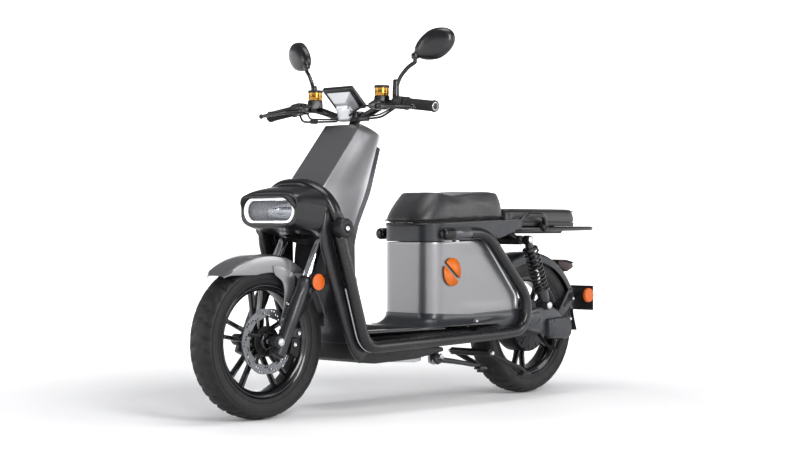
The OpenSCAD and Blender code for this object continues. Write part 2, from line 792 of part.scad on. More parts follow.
module hub_motor() {
  color([0.2, 0.2, 0.21]) wheel_axis(-axle_x) difference() {
    union() {
      cylinder(h = 62, r = motor_r, center = true);
      cylinder(h = 92, r = 46, center = true);
      cylinder(h = 110, r = 30, center = true);
    }
    cylinder(h = 200, r = axle_r + running, center = true);
  }
}

// Rear suspension

module swingarm() {
  color([0.3, 0.31, 0.32]) frame() {
    both_sides() difference() {
      union() {
        plate(66, 84) polygon([[-276, 188], [-276, 222], [-300, 232], [-420, 240], [-612, 250], [-612, 206],
          [-560, 192], [-420, 192]]);
        plate(84, 112) polygon([[-530, 244], [-520, 282], [-588, 282], [-606, 248]]);
      }
      cross_bar(swing_x, swing_z, swing_r + running, 300);
      cross_bar(-axle_x, axle_z, axle_r, 300);
    }
    difference() {
      cross_bar(swing_x, swing_z, 17, 72);
      cross_bar(swing_x, swing_z, swing_r + running, 300);
    }
    difference() {
      both_sides() translate([swing_x, 68, swing_z]) rotate([90, 0, 0]) cylinder(h = 5, r = 17);
      cross_bar(swing_x, swing_z, swing_r + running, 300);
    }
    // Cross brace ahead of the tyre
    translate([-350, -70, 186]) cube([26, 140, 13]);
    // Axle and lower shock studs
    cross_bar(-axle_x, axle_z, axle_r, 200);
    both_sides() translate([shock_low[0], shock_y + 14, shock_low[1]]) rotate([90, 0, 0])
      cylinder(h = shock_y + 14 - 100, r = shock_pin_r);
    both_sides() translate([shock_low[0] - 14, 98, 270]) cube([28, 12, 32]);
  }
}
module motor_cover() {
  color([0.4, 0.41, 0.43]) frame() {
    difference() {
      plate(114, 132) polygon([[-440, 232], [-470, 278], [-512, 289], [-600, 289], [-640, 262], [-648, 222],
        [-620, 206], [-520, 204], [-470, 214]]);
      // Room for the shock eye
      translate([shock_low[0], 140, shock_low[1]]) rotate([90, 0, 0]) cylinder(h = 40, r = 26);
    }
    hull() {
      plate(132, 136) polygon([[-552, 250], [-660, 256], [-672, 228], [-668, 190], [-640, 180], [-556, 186]]);
      plate(136, 152) polygon([[-560, 244], [-652, 250], [-664, 228], [-660, 196], [-636, 188], [-562, 192]]);
    }
    plate(102, 114) polygon([[-600, 236], [-570, 236], [-570, 214], [-600, 214]]);
  }
}
plate_gap = 100;
plate_hole_r = 3;
module rear_fender() {
  color([0.3, 0.3, 0.32]) frame() {
    translate([-axle_x, 0, axle_z]) {
      plate(-50, 50) polygon(fender_outline(236, 240, 62, 168, 18));
      both_sides() plate(50, 54) polygon(fender_outline(206, 240, 62, 168, 18));
      plate(-30, 30) polygon([[-236, 74], [-240, 74], [-262, -30], [-258, -32]]);
    }
    both_sides() {
      plate(54, 60) polygon([[-800, 300], [-786, 342], [-764, 336], [-700, 250], [-716, 236]]);
      plate(54, 102) polygon([[-700, 236], [-700, 250], [-716, 250], [-716, 236]]);
      plate(100, 112) polygon([[-716, 236], [-604, 236], [-604, 250], [-716, 252]]);
    }
    // Plate carrier behind the wheel
    difference() {
      translate([-866, -88, 266]) cube([4, 176, 84]);
      both_sides() translate([-880, plate_gap / 2, 334]) rotate([0, 90, 0]) cylinder(h = 30, r = plate_hole_r);
    }
    // Lamp bracket on the crown of the fender
    plate(-20, 20) polygon([[-742, 392], [-748, 408.4], [-778, 397.6], [-790, 402.5], [-792, 372]]);
    both_sides() plate(24, 34) polygon([[-800, 300], [-864, 316], [-864, 330], [-788, 336]]);
    translate([-872, -46, 300]) cube([6, 92, 30]);
  }
}
module rear_lamp() {
  color([0.7, 0.05, 0.05]) frame() {
    plate(-44, 44) polygon([[-734, 416], [-730, 436], [-806, 428], [-812, 412], [-778, 398]]);
    // Round reflectors beside the number plate
    both_sides() translate([-866, 88, 318]) rotate([90, 0, 0]) translate([0, 0, -10]) cylinder(h = 10, r = 24);
  }
}
module side_reflectors() {
  color([0.95, 0.35, 0.05]) frame() both_sides() {
    translate([454, 108, 392]) rotate([-90, 0, 0]) cylinder(h = 10, r = 24);
    translate([454, 100, 386]) cube([14, 10, 12]);
  }
}

module shock_frame(side) {
  frame() mirror([0, side > 0 ? 0 : 1, 0])
    translate([shock_top[0], shock_y, shock_top[1]]) rotate([0, 180 + shock_tilt, 0]) children();
}
eye_r = 15;
eye_half = 11;
module eye(r_in) {
  difference() {
    rotate([90, 0, 0]) cylinder(h = 2 * eye_half, r = eye_r, center = true);
    rotate([90, 0, 0]) cylinder(h = 60, r = r_in, center = true);
  }
}
body_from = 28;
body_to = 96;
rod_r = 6;
module shock_bodies() {
  color([0.1, 0.1, 0.11]) for (s = [-1, 1]) shock_frame(s) {
    eye(shock_pin_r + running);
    difference() {
      union() {
        translate([0, 0, 12]) cylinder(h = body_to - 12, r = 13);
        translate([0, 0, body_from]) cylinder(h = 6, r = 26);
      }
      rotate([90, 0, 0]) cylinder(h = 60, r = shock_pin_r + running, center = true);
      translate([0, 0, 30]) cylinder(h = 200, r = rod_r + running);
    }
  }
}
module shock_rods() {
  color([0.6, 0.6, 0.62]) for (s = [-1, 1]) shock_frame(s) {
    translate([0, 0, shock_len]) eye(shock_pin_r + shock_play);
    difference() {
      union() {
        translate([0, 0, 84]) cylinder(h = 100, r = rod_r);
        translate([0, 0, 178]) cylinder(h = shock_len - 190, r = 19);
        translate([0, 0, 174]) cylinder(h = 6, r = 26);
      }
      translate([0, 0, shock_len]) rotate([90, 0, 0]) cylinder(h = 60, r = shock_pin_r + shock_play, center = true);
    }
  }
}
coil_turns = 9;
coil_steps = 12;
module shock_springs() {
  color([0.12, 0.12, 0.13]) for (s = [-1, 1]) shock_frame(s)
    sweep([for (k = [0:coil_turns * coil_steps]) let (a = 360 * k / coil_steps)
      [20.5 * cos(a), 20.5 * sin(a), body_from + 10 + k * 132 / (coil_turns * coil_steps)]],
      ring(3.4, 6), [0, 0, 1]);
}

// Seat and stands

module seat_plan(grow = 0) {
  hull() for (s = [-1, 1]) {
    translate([2 - 62, s * 50]) circle(r = 62 + grow, $fn = hull_fn);
    translate([2 - seat_len + 34, s * 90]) circle(r = 34 + grow, $fn = hull_fn);
  }
}
module seat() {
  color([0.2, 0.2, 0.21]) frame() difference() {
    hull() {
      translate([0, 0, seat_z]) rotate([0, 1.6, 0]) linear_extrude(30) seat_plan(0);
      translate([-12, 0, seat_z + 60]) rotate([0, 0.6, 0]) linear_extrude(20) scale([0.92, 1, 1]) seat_plan(-22);
    }
    translate([-165, 300, seat_z + 230]) rotate([90, 0, 0]) cylinder(h = 600, r = 146, $fn = 96);
  }
  color([0.1, 0.1, 0.1]) frame() difference() {
    for (y = [-30, 22]) translate([seat_hinge[0] - 7, y, seat_hinge[1] - 6]) cube([14, 8, 18]);
    cross_bar(seat_hinge[0], seat_hinge[1], 3 + running, 200);
  }
}

side_leg_foot = [-226, 128, 116];
module side_stand() {
  color([0.5, 0.5, 0.52]) frame() {
    difference() {
      union() {
        rod(side_pivot - 8 * side_axis, side_pivot + 6 * side_axis, 17);
        rod(side_pivot + [-12, 0, -4], side_leg_foot, 9);
      }
      rod(side_pivot - 40 * side_axis, side_pivot + 40 * side_axis, 6 + running);
    }
    translate([-252, 115, 102]) cube([34, 26, 10]);
  }
}
module centre_stand() {
  color([0.13, 0.13, 0.14]) frame() {
    difference() {
      union() {
        cross_bar(centre_pivot[0], centre_pivot[1], 12, 166);
        both_sides() {
          rod([centre_pivot[0], 74, centre_pivot[1]], [-484, 88, 86], 9);
          translate([-520, 75, 66]) cube([44, 26, 10]);
          rod([-484, 88, 86], [-496, 88, 70], 8);
        }
      }
      cross_bar(centre_pivot[0], centre_pivot[1], 6 + running, 300);
    }
  }
}

main_frame();
side_tube_left();
side_tube_right();
front_hoop();
leg_fairings();
headset_bearings();
headlight_cowl();
headlight_lens();
headlight_board();
front_panel();
leg_shield();
belly_pan();
footboard();
foot_mat();
box_cover();
seat_box();
battery_pack();
motor_controller();
rear_carrier();
passenger_pad();
pivot_pins();
steering_stem();
fork_stanchions();
handlebar();
instrument_pod();
steering_cover();
left_grip();
switch_housings();
brake_reservoirs();
control_cables();
mirror_stems();
side_reflectors();
throttle_grip();
brake_lever_left();
brake_lever_right();
mirror_left();
mirror_right();
start_button();
horn_button();
turn_switch();
fork_sliders();
front_axle();
front_fender();
front_caliper();
front_tyre();
front_rim();
front_disc();
swingarm();
rear_fender();
rear_lamp();
motor_cover();
rear_tyre();
rear_rim();
hub_motor();
shock_bodies();
shock_rods();
shock_springs();
seat();
side_stand();
centre_stand();
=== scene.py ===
# Electric moped scooter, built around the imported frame. Metres, +X forward, +Y the rider's left, +Z up.
import json
import math

import bmesh
import bpy
import numpy as np
from mathutils import Matrix, Vector


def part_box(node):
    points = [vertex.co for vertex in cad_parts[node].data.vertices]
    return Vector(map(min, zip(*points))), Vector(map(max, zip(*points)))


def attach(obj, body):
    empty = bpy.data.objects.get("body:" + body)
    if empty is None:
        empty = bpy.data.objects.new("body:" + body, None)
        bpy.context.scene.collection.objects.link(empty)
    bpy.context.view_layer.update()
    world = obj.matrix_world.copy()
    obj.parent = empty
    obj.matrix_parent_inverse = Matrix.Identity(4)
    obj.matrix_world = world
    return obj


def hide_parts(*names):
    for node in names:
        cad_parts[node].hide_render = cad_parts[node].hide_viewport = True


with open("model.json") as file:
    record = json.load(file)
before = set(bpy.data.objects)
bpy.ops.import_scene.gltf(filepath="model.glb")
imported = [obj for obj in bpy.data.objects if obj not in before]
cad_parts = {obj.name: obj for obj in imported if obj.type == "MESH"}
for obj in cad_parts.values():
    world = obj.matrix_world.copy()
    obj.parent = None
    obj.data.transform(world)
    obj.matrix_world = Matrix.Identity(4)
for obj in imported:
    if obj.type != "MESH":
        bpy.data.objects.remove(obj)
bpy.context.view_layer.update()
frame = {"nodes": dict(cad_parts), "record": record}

MM = 0.001
TAU = 2 * math.pi


# Places taken from the frame

def middle(node):
    """Middle of a node's box."""
    low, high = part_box(node)
    return (low + high) / 2


FRONT_AXLE = middle("front_tyre")
REAR_AXLE = middle("rear_tyre")
MID_X = (FRONT_AXLE.x + REAR_AXLE.x) / 2
CASTER = math.radians(27)
STEER_AXIS = Vector((-math.sin(CASTER), 0, math.cos(CASTER)))


def at(x, y, z):
    """A point given in millimetres from the ground point midway between the axles."""
    return Vector((MID_X + x * MM, y * MM, z * MM))


def fork_at(x, y, z):
    """A point given in millimetres from the front axle, with z up along the fork legs."""
    turn = Matrix.Rotation(-CASTER, 3, "Y")
    return FRONT_AXLE + turn @ Vector((x, y, z)) * MM


# Materials

def node_tree(name):
    """A fresh material with its nodes, links and surface shader."""
    material = bpy.data.materials.new(name)
    material.use_nodes = True
    nodes, links = material.node_tree.nodes, material.node_tree.links
    return material, nodes, links, nodes["Principled BSDF"]


def noise(nodes, links, scale, detail=3.0, rough=0.5):
    """Noise texture laid out in the piece's own space."""
    place = nodes.new("ShaderNodeTexCoord")
    texture = nodes.new("ShaderNodeTexNoise")
    texture.inputs["Scale"].default_value = scale
    texture.inputs["Detail"].default_value = detail
    texture.inputs["Roughness"].default_value = rough
    links.new(place.outputs["Object"], texture.inputs["Vector"])
    return texture


def ramp(nodes, links, source, low, high, start=0.3, end=0.7):
    """Colours or greys between low and high as the source goes from start to end."""
    mixer = nodes.new("ShaderNodeValToRGB")
    mixer.color_ramp.elements[0].position = start
    mixer.color_ramp.elements[1].position = end
    mixer.color_ramp.elements[0].color = (*low, 1) if hasattr(low, "__len__") else (low, low, low, 1)
    mixer.color_ramp.elements[1].color = (*high, 1) if hasattr(high, "__len__") else (high, high, high, 1)
    links.new(source, mixer.inputs["Fac"])
    return mixer.outputs["Color"]


def bump(nodes, links, shader, source, strength, distance):
    """Gives the shader a fine relief that follows the source."""
    relief = nodes.new("ShaderNodeBump")
    relief.inputs["Strength"].default_value = strength
    relief.inputs["Distance"].default_value = distance
    links.new(source, relief.inputs["Height"])
    links.new(relief.outputs["Normal"], shader.inputs["Normal"])


def shade(colour, factor):
    """A colour made lighter or darker."""
    return tuple(min(1, c * factor) for c in colour)


def finish(name, colour, metallic, rough, spread=0.12, grain=0.0, grain_scale=900, coat=0.0, wear=0.06,
           emission=0.0):
    """A moulded, cast or coated surface: mottled colour, uneven gloss and a fine grain."""
    material, nodes, links, shader = node_tree(name)
    shader.inputs["Metallic"].default_value = metallic
    shader.inputs["Specular IOR Level"].default_value = 0.5 if metallic > 0.4 else 0.34
    if coat:
        shader.inputs["Coat Weight"].default_value = coat
        shader.inputs["Coat Roughness"].default_value = 0.06
    fine = noise(nodes, links, grain_scale, 4)
    broad = noise(nodes, links, 14, 4)
    colour_out = ramp(nodes, links, broad.outputs["Fac"], shade(colour, 1 - spread),
                      shade(colour, 1 + spread))
    links.new(colour_out, shader.inputs["Base Color"])
    gloss = ramp(nodes, links, noise(nodes, links, 45, 6, 0.6).outputs["Fac"],
                 max(0.02, rough - wear), min(1, rough + wear))
    links.new(gloss, shader.inputs["Roughness"])
    if grain:
        bump(nodes, links, shader, fine.outputs["Fac"], grain, 0.0006)
    if emission:
        shader.inputs["Emission Color"].default_value = (1, 1, 1, 1)
        shader.inputs["Emission Strength"].default_value = emission
    return material


def metallic_paint(name, colour, rough=0.34, metallic=0.62):
    """Flake paint under clear coat."""
    material, nodes, links, shader = node_tree(name)
    shader.inputs["Metallic"].default_value = metallic
    shader.inputs["Coat Weight"].default_value = 0.6
    shader.inputs["Coat Roughness"].default_value = 0.08
    place = nodes.new("ShaderNodeTexCoord")
    flakes = nodes.new("ShaderNodeTexVoronoi")
    flakes.inputs["Scale"].default_value = 2600
    links.new(place.outputs["Object"], flakes.inputs["Vector"])
    colour_out = ramp(nodes, links, flakes.outputs["Color"], shade(colour, 0.93), shade(colour, 1.07), 0.2,
                      0.8)
    links.new(colour_out, shader.inputs["Base Color"])
    gloss = ramp(nodes, links, noise(nodes, links, 8, 2).outputs["Fac"], rough - 0.015, rough + 0.015)
    links.new(gloss, shader.inputs["Roughness"])
    return material


def leatherette(name, colour):
    """Pebbled seat cover with a soft sheen."""
    material, nodes, links, shader = node_tree(name)
    place = nodes.new("ShaderNodeTexCoord")
    pebble = nodes.new("ShaderNodeTexVoronoi")
    pebble.feature = "DISTANCE_TO_EDGE"
    pebble.inputs["Scale"].default_value = 520
    links.new(place.outputs["Object"], pebble.inputs["Vector"])
    tone = noise(nodes, links, 9, 4)
    links.new(ramp(nodes, links, tone.outputs["Fac"], shade(colour, 0.86), shade(colour, 1.14)),
              shader.inputs["Base Color"])
    gloss = ramp(nodes, links, noise(nodes, links, 60, 5).outputs["Fac"], 0.32, 0.42)
    links.new(gloss, shader.inputs["Roughness"])
    shader.inputs["Sheen Weight"].default_value = 0.15
    bump(nodes, links, shader, pebble.outputs["Distance"], 0.35, 0.0008)
    return material


def brushed(name, colour, rough=0.3):
    """Turned or brushed metal, with fine rings of scratches."""
    material, nodes, links, shader = node_tree(name)
    shader.inputs["Metallic"].default_value = 0.95
    place = nodes.new("ShaderNodeTexCoord")
    stretch = nodes.new("ShaderNodeMapping")
    stretch.inputs["Scale"].default_value = (1, 1, 14)
    lines = nodes.new("ShaderNodeTexNoise")
    lines.inputs["Scale"].default_value = 160
    lines.inputs["Detail"].default_value = 6
    links.new(place.outputs["Object"], stretch.inputs["Vector"])
    links.new(stretch.outputs["Vector"], lines.inputs["Vector"])
    links.new(ramp(nodes, links, lines.outputs["Fac"], shade(colour, 0.85), shade(colour, 1.12)),
              shader.inputs["Base Color"])
    links.new(ramp(nodes, links, lines.outputs["Fac"], rough - 0.08, rough + 0.1),
              shader.inputs["Roughness"])
    bump(nodes, links, shader, lines.outputs["Fac"], 0.08, 0.0003)
    return material


def clear_glass(name, colour, alpha=0.28, rough=0.03):
    """Clear moulded lens, its gloss a little uneven."""
    material, nodes, links, shader = node_tree(name)
    shader.inputs["Base Color"].default_value = (*colour, 1)
    shader.inputs["Alpha"].default_value = alpha
    shader.inputs["Coat Weight"].default_value = 1
    gloss = ramp(nodes, links, noise(nodes, links, 60, 3).outputs["Fac"], rough, rough + 0.05)
    links.new(gloss, shader.inputs["Roughness"])
    return material


def prismatic(name, colour, glow=0.0):
    """Reflector plastic, moulded in small cells, with an optional painted glow."""
    material, nodes, links, shader = node_tree(name)
    place = nodes.new("ShaderNodeTexCoord")
    cells = nodes.new("ShaderNodeTexVoronoi")
    cells.inputs["Scale"].default_value = 420
    links.new(place.outputs["Object"], cells.inputs["Vector"])
    links.new(ramp(nodes, links, cells.outputs["Distance"], shade(colour, 1.15), shade(colour, 0.75), 0.05,
                   0.6),
              shader.inputs["Base Color"])
    shader.inputs["Roughness"].default_value = 0.3
    shader.inputs["Specular IOR Level"].default_value = 0.3
    shader.inputs["Coat Weight"].default_value = 0.12
    # Painted light: the reflector glows faintly in its own colour, though it is no lamp
    if glow:
        shader.inputs["Emission Color"].default_value = (*colour, 1)
        shader.inputs["Emission Strength"].default_value = glow
    bump(nodes, links, shader, cells.outputs["Distance"], 0.3, 0.0008)
    return material


M = {
    "silver_panel": metallic_paint("silver_paint", (0.2, 0.2, 0.208), 0.33, 0.8),
    "dark_panel": metallic_paint("dark_paint", (0.04, 0.041, 0.045), 0.32, 0.4),
    "trim_silver": metallic_paint("trim_paint", (0.5, 0.51, 0.53), 0.3, 0.7),
    "trim_dark": finish("trim_dark", (0.045, 0.046, 0.052), 0.1, 0.42, grain=0.06),
    "frame_black": finish("frame_black", (0.008, 0.008, 0.009), 0.1, 0.42, grain=0.1, grain_scale=700),
    "satin_black_tube": finish("satin_black_tube", (0.005, 0.005, 0.006), 0.1, 0.3, grain=0.05, coat=0.2),
    "black_plastic": finish("black_plastic", (0.007, 0.007, 0.008), 0, 0.46, grain=0.18, grain_scale=1100),
    "satin_black_plastic": finish("satin_black_plastic", (0.006, 0.006, 0.0072), 0, 0.33, grain=0.07,
                                  coat=0.2),
    "charcoal_plastic": finish("charcoal_plastic", (0.022, 0.023, 0.027), 0.1, 0.36, grain=0.06, coat=0.2),
    "swingarm_grey": finish("swingarm_grey", (0.03, 0.031, 0.035), 0.35, 0.4, grain=0.1),
    "cover_grey": finish("cover_grey", (0.035, 0.036, 0.041), 0.25, 0.38, grain=0.07, coat=0.2),
    "rubber": finish("rubber", (0.006, 0.006, 0.0065), 0, 0.66, grain=0.25, grain_scale=800, wear=0.1),
    "tyre": finish("tyre", (0.006, 0.006, 0.0068), 0, 0.56, grain=0.2, grain_scale=650, wear=0.1),
    "leatherette": leatherette("leatherette", (0.009, 0.0092, 0.0105)),
    "chrome": finish("chrome", (0.86, 0.87, 0.9), 1.0, 0.08, spread=0.03, wear=0.03),
    "steel": brushed("steel", (0.55, 0.56, 0.58)),
    "stand_alloy": brushed("stand_alloy", (0.3, 0.31, 0.33), 0.36),
    "disc_steel": brushed("disc_steel", (0.16, 0.165, 0.175), 0.36),
    "slider_grey": finish("slider_grey", (0.028, 0.0285, 0.032), 0.45, 0.32, grain=0.05),
    "bar_black": finish("bar_black", (0.006, 0.006, 0.007), 0.2, 0.26, grain=0.04, coat=0.4),
    "rim_black": finish("rim_black", (0.005, 0.005, 0.006), 0.3, 0.24, grain=0.03, coat=0.5),
    "motor_alloy": finish("motor_alloy", (0.014, 0.0145, 0.017), 0.5, 0.38, grain=0.1),
    "caliper_black": finish("caliper_black", (0.008, 0.008, 0.009), 0.4, 0.35, grain=0.06),
    "gold_alloy": finish("gold_alloy", (0.42, 0.21, 0.035), 0.85, 0.24, grain=0.04, spread=0.08),
    "spring_black": finish("spring_black", (0.008, 0.008, 0.009), 0.3, 0.3, coat=0.4),
    "red_button": finish("red_button", (0.45, 0.02, 0.015), 0, 0.35, coat=0.3),
    "grey_button": finish("grey_button", (0.24, 0.24, 0.25), 0, 0.45, grain=0.1),
    "battery_case": finish("battery_case", (0.05, 0.055, 0.065), 0, 0.5, grain=0.2),
    "cast_alloy": finish("cast_alloy", (0.4, 0.41, 0.43), 0.8, 0.45, grain=0.2),
    "lamp_silver": finish("lamp_silver", (0.3, 0.31, 0.34), 0.9, 0.2, spread=0.05),
    "clear_lens": clear_glass("clear_lens", (0.9, 0.93, 0.97), 0.04),
    "lamp_ring": finish("lamp_ring", (0.9, 0.92, 0.95), 0, 0.3, spread=0.02, emission=0.55),
    "lamp_diffuser": finish("lamp_diffuser", (0.4, 0.41, 0.45), 0, 0.35, spread=0.06, emission=0.3),
    "mirror_glass": finish("mirror_glass", (0.75, 0.78, 0.82), 1.0, 0.03, spread=0.02, wear=0.01),
    "screen": finish("screen", (0.01, 0.011, 0.014), 0, 0.08, spread=0.2, wear=0.03, coat=0.6),
    # The orange reflectors glow faintly: painted light, as a reflector is no lamp
    "orange_lens": prismatic("orange_lens", (0.6, 0.105, 0.003), 0.05),
    "red_lens": prismatic("red_lens", (0.02, 0.002, 0.002)),
    "badge_orange": finish("badge_orange", (0.55, 0.12, 0.008), 0, 0.4, spread=0.05, emission=0.0),
    "number_plate": finish("plate_black", (0.012, 0.012, 0.013), 0, 0.5, grain=0.1),
}

# Every carried-over CAD node takes its record slot's finish
for part in frame["record"]["subparts"]:
    node = frame["nodes"][part["node"]]
    node.data.materials.clear()
    node.data.materials.append(M[part["material_slot"]])


# Mesh tools

def keep(obj, body, material, nodes=(), slot=None, smooth=None, bevel=0, segments=3, subdivide=0):
    """Finishes a piece: modifiers applied, shaded, painted, riding on its body."""
    if isinstance(material, str):
        slot = slot or material
        material = M[material]
    if bevel:
        edge = obj.modifiers.new("bevel", "BEVEL")
        edge.width = bevel
        edge.segments = segments
        edge.limit_method = "ANGLE"
        edge.angle_limit = math.radians(28)
        edge.harden_normals = False
    if subdivide:
        detail = obj.modifiers.new("detail", "SUBSURF")
        detail.levels = detail.render_levels = subdivide
    apply_modifiers(obj)
    obj.data.materials.clear()
    obj.data.materials.append(material)
    for polygon in obj.data.polygons:
        polygon.use_smooth = True
        polygon.material_index = 0
    if smooth is not None:
        mark_sharp(obj, smooth)
    if nodes:
        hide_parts(*nodes)
    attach(obj, body)
    return obj


def mark_sharp(obj, degrees):
    """Keeps edges steeper than the angle crisp."""
    limit = math.radians(degrees)
    form = bmesh.new()
    form.from_mesh(obj.data)
    for edge in form.edges:
        edge.smooth = len(edge.link_faces) == 2 and edge.calc_face_angle(0) < limit
    form.to_mesh(obj.data)
    form.free()


def apply_modifiers(obj):
    """Turns the modifiers into the mesh itself."""
    bpy.context.view_layer.update()
    if not obj.modifiers:
        return
    result = bpy.data.meshes.new_from_object(obj.evaluated_get(bpy.context.evaluated_depsgraph_get()))
    obj.modifiers.clear()
    obj.data = result


def new_object(name, verts, faces):
    """A mesh object from points and faces."""
    data = bpy.data.meshes.new(name)
    data.from_pydata([tuple(v) for v in verts], [], faces)
    form = bmesh.new()
    form.from_mesh(data)
    bmesh.ops.recalc_face_normals(form, faces=form.faces)
    form.to_mesh(data)
    form.free()
    obj = bpy.data.objects.new(name, data)
    bpy.context.scene.collection.objects.link(obj)
    return obj


def join(name, objects):
    """Several meshes as one object."""
    form = bmesh.new()
    for o in objects:
        copy = o.data.copy()
        copy.transform(o.matrix_world)
        form.from_mesh(copy)
        bpy.data.meshes.remove(copy)
    data = bpy.data.meshes.new(name)
    form.to_mesh(data)
    form.free()
    for o in objects:
        bpy.data.objects.remove(o)
    obj = bpy.data.objects.new(name, data)
    bpy.context.scene.collection.objects.link(obj)
    return obj


def loft(name, rings, cap=True, close=False):
    """Skin through rings of points, all with the same count."""
    count = len(rings[0])
    verts = [p for r in rings for p in r]
    faces = []
    spans = len(rings) if close else len(rings) - 1
    for i in range(spans):
        a, b = i * count, ((i + 1) % len(rings)) * count
        for j in range(count):
            k = (j + 1) % count
            faces.append((a + j, a + k, b + k, b + j))
    if cap and not close:
        faces.append(tuple(range(count)))
        faces.append(tuple(len(verts) - count + j for j in range(count)))
    return new_object(name, verts, faces)


def round_path(points, cut, steps=6):
    """The path with each corner replaced by a smooth bend."""
    points = [Vector(p) for p in points]
    out = [points[0]]
    for a, b, c in zip(points, points[1:], points[2:]):
        reach = min(cut, (a - b).length * 0.49, (c - b).length * 0.49)
        p, q = b + (a - b).normalized() * reach, b + (c - b).normalized() * reach
        for k in range(steps + 1):
            t = k / steps
            out.append((1 - t) ** 2 * p + 2 * t * (1 - t) * b + t * t * q)
    out.append(points[-1])
    return out


def heading(path, i):
    """Direction of a path at one of its points."""
    if i == 0:
        return (path[1] - path[0]).normalized()
    if i == len(path) - 1:
        return (path[-1] - path[-2]).normalized()
    return ((path[i + 1] - path[i]).normalized() + (path[i] - path[i - 1]).normalized()).normalized()


def path_frames(path, start):
    """Side and up directions along a path, carried without twist."""
    side = Vector(start)
    for i, p in enumerate(path):
        t = heading(path, i)
        side = (side - side.dot(t) * t).normalized()
        yield p, side, t.cross(side)


def sweep(name, path, outline, start=(0, 1, 0), scale=None):
    """Outline, as (side, up) offsets in metres, carried along the path."""
    path = [Vector(p) for p in path]
    rings = []
    for i, (p, side, up) in enumerate(path_frames(path, start)):
        size = scale(i / (len(path) - 1)) if scale else 1
        rings.append([p + side * o[0] * size + up * o[1] * size for o in outline])
    return loft(name, rings)


def circle(r, n=24, squash=1.0):
    """Points of a circle as pairs."""
    return [(r * math.cos(TAU * k / n), r * squash * math.sin(TAU * k / n)) for k in range(n)]


def tube(name, path, r, n=20, start=(0, 1, 0), domed=True):
    """Round tube with domed ends."""
    path = [Vector(p) for p in path]
    rings = []
    frames = list(path_frames(path, start))
    ends = [(0, heading(path, 0) * -1), (len(path) - 1, heading(path, len(path) - 1))]
    steps = 4
    if domed:
        p, side, up = frames[0]
        for k in range(1, steps + 1):
            a = math.pi / 2 * k / steps
            push = ends[0][1] * r * 0.6 * math.cos(a)
            rings.append([p + push + (side * c + up * s) * math.sin(a) for c, s in circle(r, n)])
    for p, side, up in frames[1 if domed else 0:len(frames) - (1 if domed else 0)]:
        rings.append([p + side * c + up * s for c, s in circle(r, n)])
    if domed:
        p, side, up = frames[-1]
        for k in range(steps, 0, -1):
            a = math.pi / 2 * k / steps
            push = ends[1][1] * r * 0.6 * math.cos(a)
            rings.append([p + push + (side * c + up * s) * math.sin(a) for c, s in circle(r, n)])
    return loft(name, rings)


def lathe(name, profile, centre, axis, turns=48, close=False):
    """Profile of (along, radius) turned about an axis through centre."""
    axis = Vector(axis).normalized()
    side = axis.orthogonal().normalized()
    up = axis.cross(side)
    rings = []
    for along, r in profile:
        rings.append([centre + axis * along
                      + (side * math.cos(TAU * k / turns) + up * math.sin(TAU * k / turns)) * r
                      for k in range(turns)])
    return loft(name, rings, cap=not close, close=close)


def slab(name, outline, y0, y1):
    """Outline of points in X and Z, in millimetres from mid-wheelbase, thick from y0 to y1."""
    low = [at(x, y0, z) for x, z in outline]
    high = [at(x, y1, z) for x, z in outline]
    return loft(name, [low, high])


def cylinder(name, a, b, r, n=24, bevel=0.0008):
    """A turned bar between two points, its ends chamfered."""
    a, b = Vector(a), Vector(b)
    length = (b - a).length
    chamfer = min(bevel, r * 0.4, length * 0.3)
    profile = [(0, r - chamfer), (chamfer, r), (length - chamfer, r), (length, r - chamfer)]
    return lathe(name, profile, a, b - a, n)


def bolt(name, head, direction, r, height):
    """Socket-head bolt, its recess turned in."""
    profile = [(0, r), (height * 0.8, r), (height, r * 0.86), (height, r * 0.5), (height * 0.45, r * 0.46)]
    return lathe(name, profile, Vector(head), direction, 18)


def arc(cx, cz, r, start, end, steps):
    """Points on a circle, from one angle to another in degrees."""
    return [(cx + r * math.cos(math.radians(start + (end - start) * k / steps)),
             cz + r * math.sin(math.radians(start + (end - start) * k / steps))) for k in range(steps + 1)]


# Side loops, hoop and leg fairings

LOOP_Y = 162
LOOP_R = 18
PIPING_IN = -0.0135
LOOP_LINE = [(-58, -24, 529), (-238, -14, 533), (-426, 0, 322), (-408, 0, 220), (-300, 0, 213),
             (308, 0, 196), (351, 0, 330), (410, 0, 520)]


def loop_points(side, out=0.0):
    """The side tube's centre line, moved outwards by out millimetres."""
    return [at(x, side * (LOOP_Y + y + out), z) for x, y, z in LOOP_LINE]


def offset_line(path, up, side_push):
    """The path moved square to itself within its own plane and along Y, in metres."""
    out = []
    for i, p in enumerate(path):
        t = heading(path, i)
        inward = t.cross(Vector((0, 1, 0))).normalized()
        out.append(p + inward * up + Vector((0, side_push, 0)))
    return out


for side, tag in ((1, "left"), (-1, "right")):
    route = round_path(loop_points(side), 0.05, 9)
    keep(tube(f"side_loop_{tag}", route, LOOP_R * MM, 28), "root", "satin_black_tube", [f"side_tube_{tag}"])
    # Bullet end cap and the bright strip let into the tube's outer edge
    tip, inner = at(-58, side * 138, 529), at(-128, side * 142, 530.5)
    back = (inner - tip).normalized()
    cap = [(0, 0.5), (1, 5), (4, 9), (11, 13.5), (24, 17), (48, 19.2), (104, 19.2), (106, 17.8)]
    keep(lathe(f"loop_cap_{tag}", [(a * MM, r * MM) for a, r in cap], tip, back, 32), "root",
         finish(f"loop_cap_{tag}", (0.045, 0.046, 0.052), 0.3, 0.3, coat=0.4), slot="satin_black_tube")
    # Bright piping along the tube's inner edge, from the box's rear round the floor and up the leg
    start = next(i for i, p in enumerate(route) if p.x < at(-400, 0, 0).x and p.z < at(0, 0, 330).z)
    piping = offset_line(route[start:-1], PIPING_IN, -side * 0.0105)
    keep(sweep(f"loop_piping_{tag}", piping, circle(0.0042, 12)), "root", "trim_silver", slot="silver_panel")

